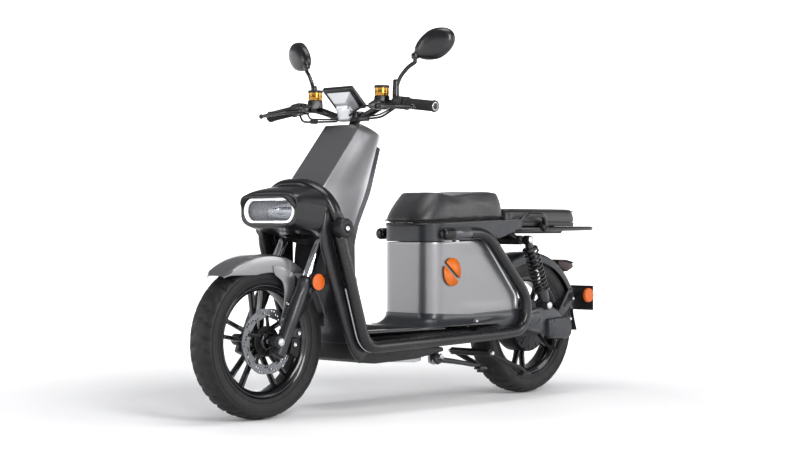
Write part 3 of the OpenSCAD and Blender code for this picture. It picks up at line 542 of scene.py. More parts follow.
BOSS = (404, 546)
HOOP = [(404, 155, 560), (424, 132, 634), (442, 62, 678)]
hoop_route = round_path([at(*p) for p in HOOP] + [at(x, -y, z) for x, y, z in reversed(HOOP)], 0.06, 10)
hoop_shape = [(0.021 * c, 0.0125 * s) for c, s in circle(1, 28)]
keep(sweep("hoop_tube", hoop_route, hoop_shape, (1, 0, 0)), "root", "satin_black_tube", ["front_hoop"])
for side, tag in ((1, "left"), (-1, "right")):
    centre = at(BOSS[0], side * 140, BOSS[1])
    puck = [(0, 20), (2, 27), (20, 30), (38, 29), (44, 25.5), (46, 20), (46, 13), (43, 12), (42.5, 0.5)]
    keep(lathe(f"hoop_boss_{tag}", [(a * MM, r * MM) for a, r in puck], centre, (0, side, 0), 40), "root",
         "black_plastic", slot="satin_black_tube")
    keep(bolt(f"hoop_bolt_{tag}", at(BOSS[0], side * 182, BOSS[1]), (0, side, 0), 0.0075, 0.005), "root",
         "steel")

FAIRING = [(424, 600), (434, 556), (438, 508), (410, 426), (368, 318), (344, 252), (318, 196), (290, 168)]
fairing_shape = [(x * 0.0105, z * 0.0235) for x, z in
                 [(math.copysign(abs(math.cos(TAU * k / 24)) ** 0.55, math.cos(TAU * k / 24)),
                   math.copysign(abs(math.sin(TAU * k / 24)) ** 0.7, math.sin(TAU * k / 24)))
                  for k in range(24)]]
for side, tag in ((1, "left"), (-1, "right")):
    route = round_path([at(x, side * 132, z) for x, z in FAIRING], 0.05, 6)
    keep(sweep(f"leg_fairing_{tag}", route, fairing_shape), "root", "satin_black_plastic",
         ["leg_fairings"] if side > 0 else (), slot="black_plastic")
# Dark infill between the fairing and the tube, over the leg's whole width
for side, tag in ((1, "left"), (-1, "right")):
    outline = [(420, 556), (400, 480), (362, 360), (330, 262), (310, 214), (288, 205), (296, 250),
               (318, 330), (330, 420), (332, 520), (352, 556)]
    plate = slab(f"leg_infill_{tag}", outline, side * 122, side * 143)
    keep(plate, "root", "black_plastic", bevel=0.004, smooth=40)


# Headlight

LAMP = dict(x=537, z=597, half=104, height=66)


def lamp_ring(x, grow, n=72):
    """Stadium outline in Y and Z, standing at x."""
    r = LAMP["height"] / 2 + grow
    flat = LAMP["half"] - LAMP["height"] / 2
    out = []
    for k in range(n):
        a = TAU * k / n
        cy = flat if math.cos(a) > 0 else -flat
        if abs(math.cos(a)) < 1e-9:
            cy = 0
        out.append(at(x, cy + r * math.cos(a), LAMP["z"] + r * math.sin(a)))
    return out


def cowl_ring(t, n=72):
    """A section of the cowl, from the lamp mouth at t=0 to the hoop at t=1."""
    ease = t * t * (3 - 2 * t)
    x_top, x_low = 541 - 109 * ease, 541 - 93 * ease
    half = 121 + 24 * ease
    top = 649 + 26 * math.sin(math.pi / 2 * t)
    low = 550 - 22 * t
    power = 0.5 + 0.18 * ease
    out = []
    for k in range(n):
        a = TAU * k / n
        c = math.copysign(abs(math.cos(a)) ** power, math.cos(a))
        s = math.copysign(abs(math.sin(a)) ** power, math.sin(a))
        mid, high = (top + low) / 2, (top - low) / 2
        sag = -34 * ease * abs(c) ** 2.4
        x = x_low + (x_top - x_low) * (s + 1) / 2 - 26 * ease * abs(c) ** 3
        out.append(at(x, half * c, mid + high * s + sag * (0.4 + 0.6 * (1 - s) / 2)))
    return out


cowl = loft("cowl_shell", [cowl_ring(k / 12) for k in range(13)] + [
    [p + Vector((-0.012, 0, 0)) for p in cowl_ring(1)]], cap=False)
mouth = loft("cowl_mouth", [cowl_ring(0), [p + Vector((0.006, 0, 0)) for p in lamp_ring(537, 10)],
                            lamp_ring(541, 4), lamp_ring(515, 2), lamp_ring(481, 0)], cap=False)
keep(join("headlight_shell", [cowl, mouth]), "root", "satin_black_plastic", ["headlight_cowl"], smooth=50)


def visor_ring(x, grow_in, grow_out):
    """Half-moon section of the visor above the lamp."""
    outer, inner = [], []
    flat = LAMP["half"] - LAMP["height"] / 2
    for k in range(41):
        a = math.radians(-8 + 196 * k / 40)
        cy = flat if math.cos(a) > 0 else -flat
        r = LAMP["height"] / 2
        reach = r + grow_in + (grow_out - grow_in) * min(1, 0.12 + (20 - abs(k - 20)) / 5)
        jut = LAMP["x"] - 14 + (x - LAMP["x"] + 14) * math.sin(math.pi * (k + 1) / 42) ** 0.6
        outer.append(at(jut, cy + reach * math.cos(a), LAMP["z"] + reach * math.sin(a)))
        inner.append(at(jut, cy + (r + grow_in) * math.cos(a), LAMP["z"] + (r + grow_in) * math.sin(a)))
    return outer + inner[::-1]


visor_rings = [visor_ring(x, 6, out)
               for x, out in ((516, 15), (547, 15), (561, 13.5), (566, 11), (567, 8.5))]
keep(loft("headlight_visor", visor_rings), "root", "black_plastic", slot="satin_black_plastic", smooth=50)

ring_out, ring_in = 2.5, -3.5
glow = [lamp_ring(531, ring_out), lamp_ring(542, ring_out), lamp_ring(544, (ring_out + ring_in) / 2),
        lamp_ring(542, ring_in), lamp_ring(531, ring_in)]
keep(loft("daylight_ring", glow, cap=False, close=True), "root", M["lamp_ring"], slot="clear_lens")
lens = [lamp_ring(x, g) for x, g in ((533, -3.5), (538, -4), (541, -8), (542.5, -18), (543, -30))]
keep(loft("lamp_lens", lens), "root", "clear_lens", ["headlight_lens"])
bowl = [lamp_ring(530, -4), lamp_ring(521, -9), lamp_ring(505, -15), lamp_ring(503, -30)]
keep(loft("lamp_bowl", bowl), "root", "lamp_silver", ["headlight_board"])
# Diffuser on the rider's right, then three projector cells parted by slanted fins
keep(loft("lamp_diffuser", [
    [at(527, -88 + 50 * u, LAMP["z"] + v)
     for u, v in ((0, -14), (0.12, -20), (1, -20), (1, 20), (0.12, 20), (0, 14))],
    [at(509, -90 + 50 * u, LAMP["z"] + v)
     for u, v in ((0, -16), (0.12, -22), (1, -22), (1, 22), (0.12, 22), (0, 16))]]),
    "root", M["lamp_diffuser"], slot="clear_lens", bevel=0.002)
for k in range(3):
    cell_y = -16 + k * 38
    eye = lathe(f"lamp_cell_{k}", [
        (0, 17 * MM), (10 * MM, 16.5 * MM), (16 * MM, 13 * MM), (19 * MM, 7 * MM), (19.8 * MM, 0.4 * MM)],
        at(505, cell_y, LAMP["z"]), (1, 0, 0), 32)
    keep(eye, "root", M["lamp_silver"], slot="lamp_silver")
    fin = loft(f"lamp_fin_{k}", [
        [at(527, cell_y + 16 + dy, LAMP["z"] + dz) for dy, dz in ((-8, -20), (-4, -20), (10, 20), (6, 20))],
        [at(507, cell_y + 16 + dy, LAMP["z"] + dz) for dy, dz in ((-8, -20), (-4, -20), (10, 20), (6, 20))]])
    keep(fin, "root", M["trim_dark"], slot="lamp_silver", bevel=0.0008)


# Front panel, leg shield, belly and floor

def panel_section(t):
    """Half of a level section of the front panel, from the middle of the front face to the rear edge."""
    front = at(402 - 161 * t, 79 - 3 * t, 664 + 192 * t)
    middle_front = at(404 - 160 * t, 0, 664 + 192 * t + 3 * (1 - t))
    rear = at(262 - 66 * t, 119 - 9 * t, 656 + 166 * t)
    return middle_front, front, rear


def panel_outline(t, n=5):
    """Half of the front panel's section at height share t: the face, a crease and the side facet."""
    centre, front, rear = panel_section(t)
    half = [centre.lerp(front, k / n) for k in range(n)]
    bend = [front + (centre - front) * 0.05, front, front + (rear - front) * 0.04]
    cheek = []
    for k in range(1, n + 1):
        u = k / n
        p = front.lerp(rear, 0.04 + 0.96 * u)
        cheek.append(p + Vector((0, 0.006 * math.sin(math.pi * u), 0)))
    return half + bend + cheek


def open_skin(name, rows, thick):
    """A shell of even thickness through rows of points."""
    count = len(rows[0])
    verts = [p for r in rows for p in r]
    faces = [(i * count + j, i * count + j + 1, (i + 1) * count + j + 1, (i + 1) * count + j)
             for i in range(len(rows) - 1) for j in range(count - 1)]
    obj = new_object(name, verts, faces)
    shell = obj.modifiers.new("shell", "SOLIDIFY")
    shell.thickness = thick
    shell.offset = 0
    apply_modifiers(obj)
    return obj


def both_halves(half):
    """A half section with its mirror image."""
    return half[::-1] + [Vector((p.x, -p.y, p.z)) for p in half if p.y > 1e-6]


LOWER = [
    [at(412, 0, 640), at(411, 60, 640), at(410, 78, 640), at(352, 104, 616), at(296, 123, 600)],
    [at(414, 0, 606), at(414, 60, 606), at(413, 80, 606), at(366, 108, 582), at(318, 127, 562)],
    [at(400, 0, 570), at(402, 60, 570), at(404, 84, 570), at(372, 112, 548), at(338, 129, 524)]]


def resample(points, count):
    """Evenly spaced points along a line."""
    lengths = [0]
    for a, b in zip(points, points[1:]):
        lengths.append(lengths[-1] + (b - a).length)
    out = []
    for k in range(count):
        s = lengths[-1] * k / (count - 1)
        i = max(j for j in range(len(points)) if lengths[j] <= s + 1e-9)
        if i >= len(points) - 1:
            out.append(points[-1].copy())
        else:
            out.append(points[i].lerp(points[i + 1], (s - lengths[i]) / (lengths[i + 1] - lengths[i])))
    return out


rows = [both_halves(panel_outline(k / 10)) for k in range(10, -1, -1)]
width = len(panel_outline(0))
for section in LOWER:
    half = resample(section[:3], 7)[:-1] + resample(section[2:], width - 6)
    rows.append(both_halves(half))
panel = open_skin("front_cover", rows, 0.004)
keep(panel, "root", "silver_panel", ["front_panel"], bevel=0.003, segments=3, smooth=24)

# Dark edge strip behind the panel, and the leg shield with its raised knee pad
for side, tag in ((1, "left"), (-1, "right")):
    edge = [at(213, 111.5, 788), at(263, 120.5, 657), at(296, 124, 600), at(319, 128, 562),
            at(338, 129, 522)]
    edge = [Vector((p.x - 0.007, p.y * side, p.z - 0.003)) for p in edge]
    keep(sweep(f"panel_edge_{tag}", round_path(edge, 0.02, 4),
               [(0.004 * a, 0.009 * b) for a, b in circle(1, 12)]),
         "root", M["trim_dark"], slot="dark_panel")

SHIELD = [(180, 826), (252, 664), (316, 520), (326, 430), (316, 342), (290, 252)]


def shield_rows():
    """Rows of the knee shield, padded towards its middle."""
    line = round_path([at(x, 0, z) for x, z in SHIELD], 0.06, 5)
    rows = []
    for i, p in enumerate(line):
        t = heading(line, i)
        back = Vector((0, 1, 0)).cross(t).normalized()
        if back.x > 0:
            back = -back
        half = 0.116 - 0.03 * max(0, (p.z - 0.7) / 0.126) if p.z > 0.56 else 0.126
        row = []
        for k in range(-8, 9):
            u = k / 8
            pad = 0.010 * max(0, 1 - abs(u) ** 3) * (1 if p.z < 0.75 else max(0, (0.826 - p.z) / 0.076))
            row.append(p + back * (pad - 0.001) + Vector((0, half * u, 0)))
        rows.append(row)
    return rows


keep(open_skin("knee_shield", shield_rows(), 0.004), "root", "cover_grey", ["leg_shield"], slot="dark_panel",
     bevel=0.0015)

keep(slab("belly_shell", [
    (313, 404), (322, 404), (317, 342), (304, 262), (319, 214), (318, 190), (302, 160), (270, 149),
    (236, 146), (60, 151), (-62, 168), (-62, 180), (60, 200), (270, 200), (290, 246),
    (306, 342)], -132, 132),
    "root", "black_plastic", ["belly_pan"], bevel=0.007, smooth=35)
# Smooth glossy splash panel behind the front wheel
splash = []
for x, z in ((323, 405), (320, 360), (313, 300), (306, 262), (315, 226), (322, 208)):
    splash.append([at(x + 2.5 - 3 * abs(u) ** 3, 112 * u, z) for u in [k / 6 for k in range(-6, 7)]])
keep(open_skin("splash_panel", splash, 0.004), "root", "charcoal_plastic", slot="black_plastic",
     bevel=0.0015)

FLOOR_Z = 243
floor_rows = []
floor_line = [at(-60 + 344 * k / 16, 0, FLOOR_Z) for k in range(17)]
for p in floor_line:
    row = []
    for k in range(-14, 15):
        u = k / 14
        edge = max(0, abs(u) - 0.9) / 0.1
        row.append(p + Vector((0, 0.141 * u, -0.005 * edge ** 2)))
    floor_rows.append(row)
keep(open_skin("floor_panel", floor_rows, 0.004), "root", "dark_panel", ["footboard"], bevel=0.0015)
ribs = []
base = slab("mat_base", [(40, FLOOR_Z - 1), (276, FLOOR_Z - 1), (276, FLOOR_Z + 2), (40, FLOOR_Z + 2)],
            -118, 118)
for k in range(17):
    x = 52 + k * 13.2
    ribs.append(slab(f"rib{k}", [(x, FLOOR_Z + 1.8), (x + 6.5, FLOOR_Z + 1.8), (x + 5.6, FLOOR_Z + 3.4),
                                 (x + 0.9, FLOOR_Z + 3.4)], -108, 108))
keep(join("floor_mat", [base] + ribs), "root", "rubber", ["foot_mat"], bevel=0.0006, segments=2, smooth=35)


# Battery box

BOX = dict(front=-29, half_front=113, half_rear=138)


def box_outline(grow=0.0, steps=10):
    """Plan of the box, from the middle of its front round the left side to the rear, in millimetres."""
    r = 60 + grow
    cx, cy = BOX["front"] - 60, BOX["half_front"] - 60
    slope = math.degrees(math.atan2(BOX["half_rear"] - 20 - cy - 40, 331))
    points = [(BOX["front"] + grow, cy * k / 4) for k in range(4)]
    points += [(cx + r * math.cos(math.radians(a)), cy + r * math.sin(math.radians(a)))
               for a in [(86 - slope) * k / steps for k in range(steps + 1)]]
    last = points[-1]
    end = (-420, BOX["half_rear"] + grow)
    points += [(last[0] + (end[0] - last[0]) * k / 14, last[1] + (end[1] - last[1]) * k / 14)
               for k in range(1, 15)]
    return points


def box_wall(name, top, bottom, grow=0.0, rows=10, thick=0.004):
    """Wall round the box between two heights, each a function of x."""
    plan = box_outline(grow)
    ring = [(x, y) for x, y in plan[::-1]] + [(x, -y) for x, y in plan[1:]]
    grid = []
    for i in range(rows + 1):
        t = i / rows
        line = []
        for x, y in ring:
            z = bottom(x) + (top(x) - bottom(x)) * t
            line.append(at(x, y, z))
        grid.append(line)
    return open_skin(name, grid, thick)


def lerp_over(pairs):
    """A height that follows straight lines between (x, z) pairs."""
    pairs = sorted(pairs)

    def height(x):
        if x <= pairs[0][0]:
            return pairs[0][1]
        for (xa, za), (xb, zb) in zip(pairs, pairs[1:]):
            if x <= xb:
                return za + (zb - za) * (x - xa) / (xb - xa)
        return pairs[-1][1]
    return height


# Silver cover: its rear edge leans back, so the wall is cut there by moving its columns
REAR_EDGE = lerp_over([(286, -396), (330, -400), (509, -262)])


def cover_crease(x, z):
    """The side is dished below a line under its upper edge."""
    inside = min(1, max(0, (-120 - x) / 60)) * min(1, max(0, (482 - z) / 8)) * min(1, max(0, (z - 300) / 14))
    return -1.6 * inside


plan = box_outline(1.0)
columns = []
for x, y in plan:
    share = min(1, max(0, (-90 - x) / 330))
    rows_z = []
    for i in range(25):
        t = i / 24
        z0, z1 = 272 + 14 * share, 503.2 + 6 * share
        z = z0 + (z1 - z0) * t
        edge_x = REAR_EDGE(z)
        xx = x if x > -90 else -90 + (edge_x + 90) * share
        turned = (-420 - xx) / (-420 - plan[-15][0])
        slope_y = (BOX["half_rear"] + 1 - plan[-15][1]) * (1 - turned) + plan[-15][1]
        yy = y if x > -90 else min(slope_y, BOX["half_rear"] + 1)
        rows_z.append((xx, yy + cover_crease(xx, z), z))
    columns.append(rows_z)
for_side = [[at(*p) for p in col] for col in columns]
left = for_side[::-1]
right = [[Vector((p.x, -p.y, p.z)) for p in col] for col in for_side[1:]]
keep(open_skin("box_cover_shell", left + right, 0.004), "root", "silver_panel", ["box_cover"], bevel=0.001,
     smooth=35)
# Bright chamfer down the cover's leaning rear edge
for side, tag in ((1, "left"), (-1, "right")):
    edge = round_path([at(-258, side * 131, 508), at(-398, side * 139, 331), at(-395, side * 139, 288)],
                      0.02, 5)
    keep(sweep(f"cover_edge_{tag}", edge, [(0.0048 * a, 0.0085 * b) for a, b in circle(1, 12)]), "root",
         "trim_silver", slot="silver_panel")
    # Round badge of plain orange segments, with no mark of its own
    badge_c = at(-110, side * 122.5, 411)
    tilt = math.atan2(BOX["half_rear"] - 118, 300)
    outward = Vector((math.sin(tilt), side * math.cos(tilt), 0))
    forward = Vector((math.cos(tilt), -side * math.sin(tilt), 0))
    for k in range(2):
        a0 = math.radians(180 * k + 35)
        outline = []
        for j in range(25):
            a = a0 + math.radians(8 + 164 * j / 24)
            outline.append((36 * math.cos(a), 44 * math.sin(a)))
        low = [badge_c + forward * (u * MM) + Vector((0, 0, v * MM)) - outward * 0.002 for u, v in outline]
        high = [p + outward * 0.0042 for p in low]
        keep(loft(f"badge_{tag}_{k}", [low, high]), "root", M["badge_orange"], slot="orange_lens")

band_low = lerp_over([(-425, 552), (-330, 516), (-262, 510.5), (20, 504.5)])
band_top = lerp_over([(-400, 573), (20, 556)])
band = box_wall("seat_band", band_top, band_low, 2.0, 8, 0.005)
skirt_top = lerp_over([(-396, 286), (-200, 277), (20, 286)])


def skirt_rows():
    """The skirt drops from the cover and flares into the floor, as far as the floor is wide."""
    rows = []
    for i in range(13):
        turn = math.pi / 2 * i / 12
        row = []
        for x, y in [(x, y) for x, y in box_outline()[::-1]] + [(x, -y) for x, y in box_outline()[1:]]:
            drop = skirt_top(x) - (244 if x > -300 else 238)
            out = 2.5 + 36 * (1 - math.cos(turn))
            wide = math.copysign(min(abs(y) + out * min(1, abs(y) / 60), 142), y)
            front = x + (out if x > -90 else 0) * min(1, (x + 90) / 50)
            row.append(at(front, wide, skirt_top(x) - drop * math.sin(turn)))
        rows.append(row)
    return rows


skirt = open_skin("box_skirt", skirt_rows(), 0.004)
lip_top = lerp_over([(-400, 574), (20, 557)])
lip = box_wall("band_lip", lip_top, lambda x: lip_top(x) - 5, 4.0, 2, 0.004)
rear_wall = slab("band_rear", [(-382, 560), (-382, 573), (-376, 573), (-376, 530), (-400, 536)], -132, 132)
keep(join("box_band", [band, skirt, lip, rear_wall]), "root", "charcoal_plastic", ["seat_box"], bevel=0.001,
     smooth=35)
for side, tag in ((1, "left"), (-1, "right")):
    hatch = []
    for k in range(32):
        a = TAU * k / 32
        c = math.copysign(abs(math.cos(a)) ** 0.45, math.cos(a))
        s = math.copysign(abs(math.sin(a)) ** 0.45, math.sin(a))
        hatch.append((-245 + 52 * c, 255 + 12 * s))
    keep(slab(f"port_cover_{tag}", hatch, side * 131, side * 137.5), "root", M["trim_dark"],
         slot="charcoal_plastic",
         bevel=0.003)
    keep(bolt(f"port_lock_{tag}", at(-208, side * 136.5, 255), (0, side, 0), 0.005, 0.003), "root", "steel")


# Seat and passenger pad: covers over foam, swelled by cloth simulation

def swell(obj, cap, pressure=4.0):
    """Puffs a closed form up like stuffed foam, each point moving at most cap metres."""
    rest = [v.co.copy() for v in obj.data.vertices]
    cloth = obj.modifiers.new("cloth", "CLOTH")
    cloth.settings.use_pressure = True
    cloth.settings.uniform_pressure_force = pressure
    cloth.settings.quality = 5
    cloth.settings.mass = 0.4
    cloth.settings.tension_stiffness = 40
    cloth.settings.compression_stiffness = 40
    cloth.settings.effector_weights.gravity = 0
    cloth.collision_settings.use_collision = False
    scene = bpy.context.scene
    for frame_number in range(1, 21):
        scene.frame_set(frame_number)
    result = bpy.data.meshes.new_from_object(obj.evaluated_get(bpy.context.evaluated_depsgraph_get()))
    obj.modifiers.clear()
    obj.data = result
    moves = np.array([v.co - start for v, start in zip(obj.data.vertices, rest)])
    for vertex, start, move in zip(obj.data.vertices, rest, evened(obj.data, moves, 60)):
        push = Vector(move)
        vertex.co = start + (push.normalized() * cap if push.length > cap else push)
    scene.frame_set(1)
    return obj


def evened(mesh, moves, rounds):
    """Averages the moves between neighbours, which leaves the swell and takes out the creases."""
    ends = np.array([e.vertices[:] for e in mesh.edges])
    count = np.bincount(ends.ravel(), minlength=len(moves))[:, None]
    for _ in range(rounds):
        total = np.zeros_like(moves)
        np.add.at(total, ends[:, 0], moves[ends[:, 1]])
        np.add.at(total, ends[:, 1], moves[ends[:, 0]])
        moves = 0.5 * moves + 0.5 * total / count
    return moves


def remesh(obj, size):
    """Rebuilds the form as an even grid of the given size."""
    voxel = obj.modifiers.new("voxels", "REMESH")
    voxel.mode = "VOXEL"
    voxel.voxel_size = size
    apply_modifiers(obj)
    return obj


def soften(obj, times):
    """Rounds the form a little."""
    smooth = obj.modifiers.new("soft", "SMOOTH")
    smooth.iterations = times
    smooth.factor = 0.5
    apply_modifiers(obj)
    return obj


def seat_section(t):
    """Plan outline of the seat at height share t, and its height at each point, in millimetres."""
    n = 72
    front, rear = 4 - 72 * t ** 1.3, -372 + 16 * t ** 2
    half_front, half_rear = 106 - 14 * t ** 1.5, 124 - 15 * t ** 2.5
    out = []
    for k in range(n):
        a = TAU * k / n
        c = math.copysign(abs(math.cos(a)) ** (0.5 if math.cos(a) > 0 else 0.2), math.cos(a))
        s = math.copysign(abs(math.sin(a)) ** (0.6 if math.cos(a) > 0 else 0.24), math.sin(a))
        x = (front + rear) / 2 + (front - rear) / 2 * c
        along = (x - rear) / (front - rear)
        half = half_rear + (half_front - half_rear) * along ** 1.5
        base = 579 - 13 * min(1, max(0, (x + 372) / 374))
        top = 656 - 9 * math.exp(-((x + 150) / 62) ** 2)
        top -= 3 * max(0, (x + 90) / 40) if x > -90 else 0
        z = base + (top - base) * t
        out.append((x, half * s, z))
    return out


def seat_form():
    """Closed form of the seat, from its base up and over the dished crown."""
    rings = [[at(x - (x + 185) * 0.04, y * 0.93, z) for x, y, z in seat_section(0)]]
    for t in (0, 0.12, 0.3, 0.5, 0.7, 0.86, 0.96, 1.0):
        rings.append([at(*p) for p in seat_section(t)])
    top = seat_section(1.0)
    for inset in (0.94, 0.8, 0.6, 0.35, 0.12):
        ring = []
        for x, y, z in top:
            xx = -215 + (x + 215) * inset
            dish = 656 - 9 * math.exp(-((xx + 150) / 62) ** 2)
            ring.append(at(xx, y * inset,
                           dish + 2.5 * (1 - inset ** 2) - 3 * math.exp(-((xx + 150) / 70) ** 2)))
        rings.append(ring)
    return loft("seat_cushion", rings)


seat = soften(remesh(seat_form(), 0.005), 3)
swell(seat, 0.006)
keep(seat, "seat", "leatherette", ["seat"], subdivide=1)


def seam_round(name, section, grow, lift, r, body, slot_name):
    """Piping or a stitched seam that follows an outline."""
    points = [at(*p) + Vector((0, 0, lift)) for p in section]
    centre = sum(points, Vector()) / len(points)
    points = [p + (p - centre).normalized() * grow for p in points]
    rings = []
    count = len(points)
    for i, p in enumerate(points):
        t = (points[(i + 1) % count] - points[i - 1]).normalized()
        side = t.cross(Vector((0, 0, 1))).normalized()
        rings.append([p + side * r * math.cos(TAU * k / 8) + Vector((0, 0, r * math.sin(TAU * k / 8)))
                      for k in range(8)])
    return keep(loft(name, rings, cap=False, close=True), body, slot_name)


seam_round("seat_piping", seat_section(0.06), 0.0006, 0.0, 0.0016, "seat", "rubber")
base_plate = [at(x * 0.985 - 3, y * 0.955, z - 3.5) for x, y, z in seat_section(0)]
base_low = [p - Vector((0, 0, 0.008)) for p in base_plate]
hinge_y = 26
seat_base = loft("seat_base", [base_low, base_plate])
hinges = [slab(f"h{s}", [(-14, 557), (-2, 557), (-2, 572), (-14, 572)], s * hinge_y - 4, s * hinge_y + 4)
          for s in (1, -1)]
keep(join("seat_pan", [seat_base] + hinges), "seat", "black_plastic", bevel=0.002, smooth=35)

PAD = dict(front=-386, rear=-758, half=110, low=566, top=606)


def pad_section(t, n=72):
    """Plan outline of the rear pad at height share t."""
    grow = -9 * t ** 2
    out = []
    for k in range(n):
        a = TAU * k / n
        c = math.copysign(abs(math.cos(a)) ** 0.16, math.cos(a))
        s = math.copysign(abs(math.sin(a)) ** 0.18, math.sin(a))
        mid, reach = (PAD["front"] + PAD["rear"]) / 2, (PAD["front"] - PAD["rear"]) / 2
        x = mid + (reach + grow) * c
        y = (PAD["half"] + grow - 2 * (1 - c) / 2) * s
        out.append((x, y, PAD["low"] + (PAD["top"] - PAD["low"]) * t))
    return out


pad_rings = [[at(x, y, z) for x, y, z in pad_section(t)] for t in (0, 0.2, 0.45, 0.7, 0.88, 0.97)]
for inset in (0.93, 0.75, 0.5, 0.2):
    pad_rings.append([at(-562 + (x + 562) * inset, y * inset, PAD["top"] + 1.5 * (1 - inset)) for x, y, z in
                      pad_section(1)])
pad = soften(remesh(loft("rear_pad", pad_rings), 0.005), 2)
swell(pad, 0.004)
keep(pad, "root", "leatherette", ["passenger_pad"], subdivide=1)
seam_round("pad_piping", pad_section(0.9), 0.0022, 0.0, 0.0015, "root", "rubber")


# Carrier, grab handles and lower deck

carrier = round_path([at(-452, 98, 544), at(-640, 104, 543), at(-866, 88, 546), at(-866, -88, 546),
                      at(-640, -104, 543), at(-452, -98, 544)], 0.045, 10)
carrier_shape = [(0.0125 * math.copysign(abs(a) ** 0.6, a), 0.0068 * math.copysign(abs(b) ** 0.6, b))
                 for a, b in circle(1, 24)]
deck_low = [at(x * 0.985 - 9, y * 0.93, 553) for x, y, z in pad_section(0)]
deck_high = [at(x * 0.99 - 6, y * 0.96, 566) for x, y, z in pad_section(0)]
deck = loft("deck", [deck_low, deck_high])
ribs = [slab(f"deck_rib{k}",
             [(-420 - 60 * k, 553.5), (-414 - 60 * k, 553.5), (-412 - 60 * k, 544), (-422 - 60 * k, 544)],
             -84, 84) for k in range(5)]
keep(join("rear_rack", [sweep("rack_bar", carrier, carrier_shape), deck] + ribs), "root",
     "satin_black_plastic",
     ["rear_carrier"], bevel=0.001, smooth=40)
for side, tag in ((1, "left"), (-1, "right")):
    grip = round_path([at(-420, side * 115, 553), at(-452, side * 138, 590), at(-540, side * 138, 590),
                       at(-572, side * 115, 553)], 0.024, 8)
    keep(tube(f"grab_handle_{tag}", grip, 0.0085, 18), "root", "satin_black_plastic")
    for k, x in enumerate((-424, -568)):
        knob = [(0, 12), (2, 15), (16, 15.5), (26, 14), (29, 10), (29.5, 6), (27, 5.5), (26.5, 0.4)]
        keep(lathe(f"handle_knob_{tag}_{k}", [(a * MM, r * MM) for a, r in knob], at(x, side * 96, 551),
                   (0, side, 0), 28), "root", "black_plastic", slot="satin_black_plastic")


# Handlebar, controls and display

GRIP_X, GRIP_Z, DROOP = 218, 897, math.atan2(20, 163)


def bar_at(side, inwards, x=0.0, up=0.0):
    """A point on the grip's axis, given in millimetres from the grip's outer end."""
    y = 355 - inwards * math.cos(DROOP) + up * math.sin(DROOP)
    z = GRIP_Z - 2 * math.tan(DROOP) + inwards * math.sin(DROOP) + up * math.cos(DROOP)
    return at(GRIP_X + x, side * y, z)


bar_line = [bar_at(1, 2), at(218, 190, 917), at(214, 128, 906), at(206, 52, 880)]
bar_route = round_path(bar_line + [Vector((p.x, -p.y, p.z)) for p in reversed(bar_line)], 0.03, 8)
bar = tube("bar_tube", bar_route, 0.011, 24, (0, 0, 1))
clamp = [slab(f"bar_clamp{s}", [(190, 869), (226, 869), (224, 892), (214, 897), (198, 897), (190, 888)],
              s * 20 if s > 0 else -42, 42 if s > 0 else -20) for s in (1, -1)]
yoke = slab("bar_yoke", [(172, 869), (226, 869), (226, 878), (172, 878)], -42, 42)
keep(join("handlebar_assembly", [bar] + clamp + [yoke]), "steering", "bar_black", ["handlebar"],
     bevel=0.0012,
     smooth=40)


def ribbed_grip(name, side):
    """Rubber grip with ribs."""
    profile = [(0, 12.5), (0, 16.5), (1.5, 17.4), (6, 17.4), (8, 16)]
    for k in range(24):
        z = 10 + k * 4
        profile += [(z, 15.1), (z + 0.7, 16.0), (z + 2.8, 16.0), (z + 3.5, 15.1)]
    profile += [(108, 15.4), (111, 19.6), (115, 19.8), (116, 18), (116, 11.2)]
    direction = bar_at(side, 1) - bar_at(side, 0)
    return lathe(name, [(a * MM, r * MM) for a, r in profile], bar_at(side, 0), direction, 40, close=False)


keep(ribbed_grip("grip_left", 1), "steering", "rubber", ["left_grip"], smooth=50)
keep(ribbed_grip("grip_right", -1), "throttle", "rubber", ["throttle_grip"], smooth=50)
for side, tag, body in ((1, "left", "steering"), (-1, "right", "throttle")):
    direction = bar_at(side, -1) - bar_at(side, 0)
    end = [(-2, 11), (0, 12.5), (0.6, 12), (0.8, 6), (-1.5, 5.4), (-1.8, 0.4)]
    keep(lathe(f"bar_end_{tag}", [(a * MM, r * MM) for a, r in end], bar_at(side, 0), direction, 28), body,
         "steel", slot="steel")


def rounded_block(name, centre, size, frame_axes, bevel):
    """A soft-edged block about a centre, with its size in millimetres along three directions."""
    ax, ay, az = frame_axes
    verts = []
    for i in (-1, 1):
        for j in (-1, 1):
            for k in (-1, 1):
                verts.append(centre + ax * (i * size[0] / 2 * MM) + ay * (j * size[1] / 2 * MM)
                             + az * (k * size[2] / 2 * MM))
    faces = [(0, 1, 3, 2), (4, 6, 7, 5), (0, 4, 5, 1), (2, 3, 7, 6), (0, 2, 6, 4), (1, 5, 7, 3)]
    obj = new_object(name, verts, faces)
    edge = obj.modifiers.new("bevel", "BEVEL")
    edge.width = bevel
    edge.segments = 4
    apply_modifiers(obj)
    return obj


def bar_axes(side):
    """Forward, outward and upward directions of a handlebar end."""
    along = (bar_at(side, 1) - bar_at(side, 0)).normalized()
    return Vector((1, 0, 0)), along, Vector((1, 0, 0)).cross(along) * (1 if side < 0 else -1)


pods = []
for side in (1, -1):
    axes = bar_axes(side)
    pods.append(rounded_block(f"pod_a{side}", bar_at(side, 138, 2), (36, 37, 38), axes, 0.009))
    pods.append(rounded_block(f"pod_b{side}", bar_at(side, 130, 10, 2), (26, 18, 30), axes, 0.005))
    pods.append(lathe(f"pod_neck{side}", [(0, 14 * MM), (0.002, 15 * MM), (0.008, 15 * MM), (0.01, 13 * MM)],
                      bar_at(side, 157), bar_at(side, 1) - bar_at(side, 0), 28))
keep(join("switch_pods", pods), "steering", "black_plastic", ["switch_housings"], smooth=45)

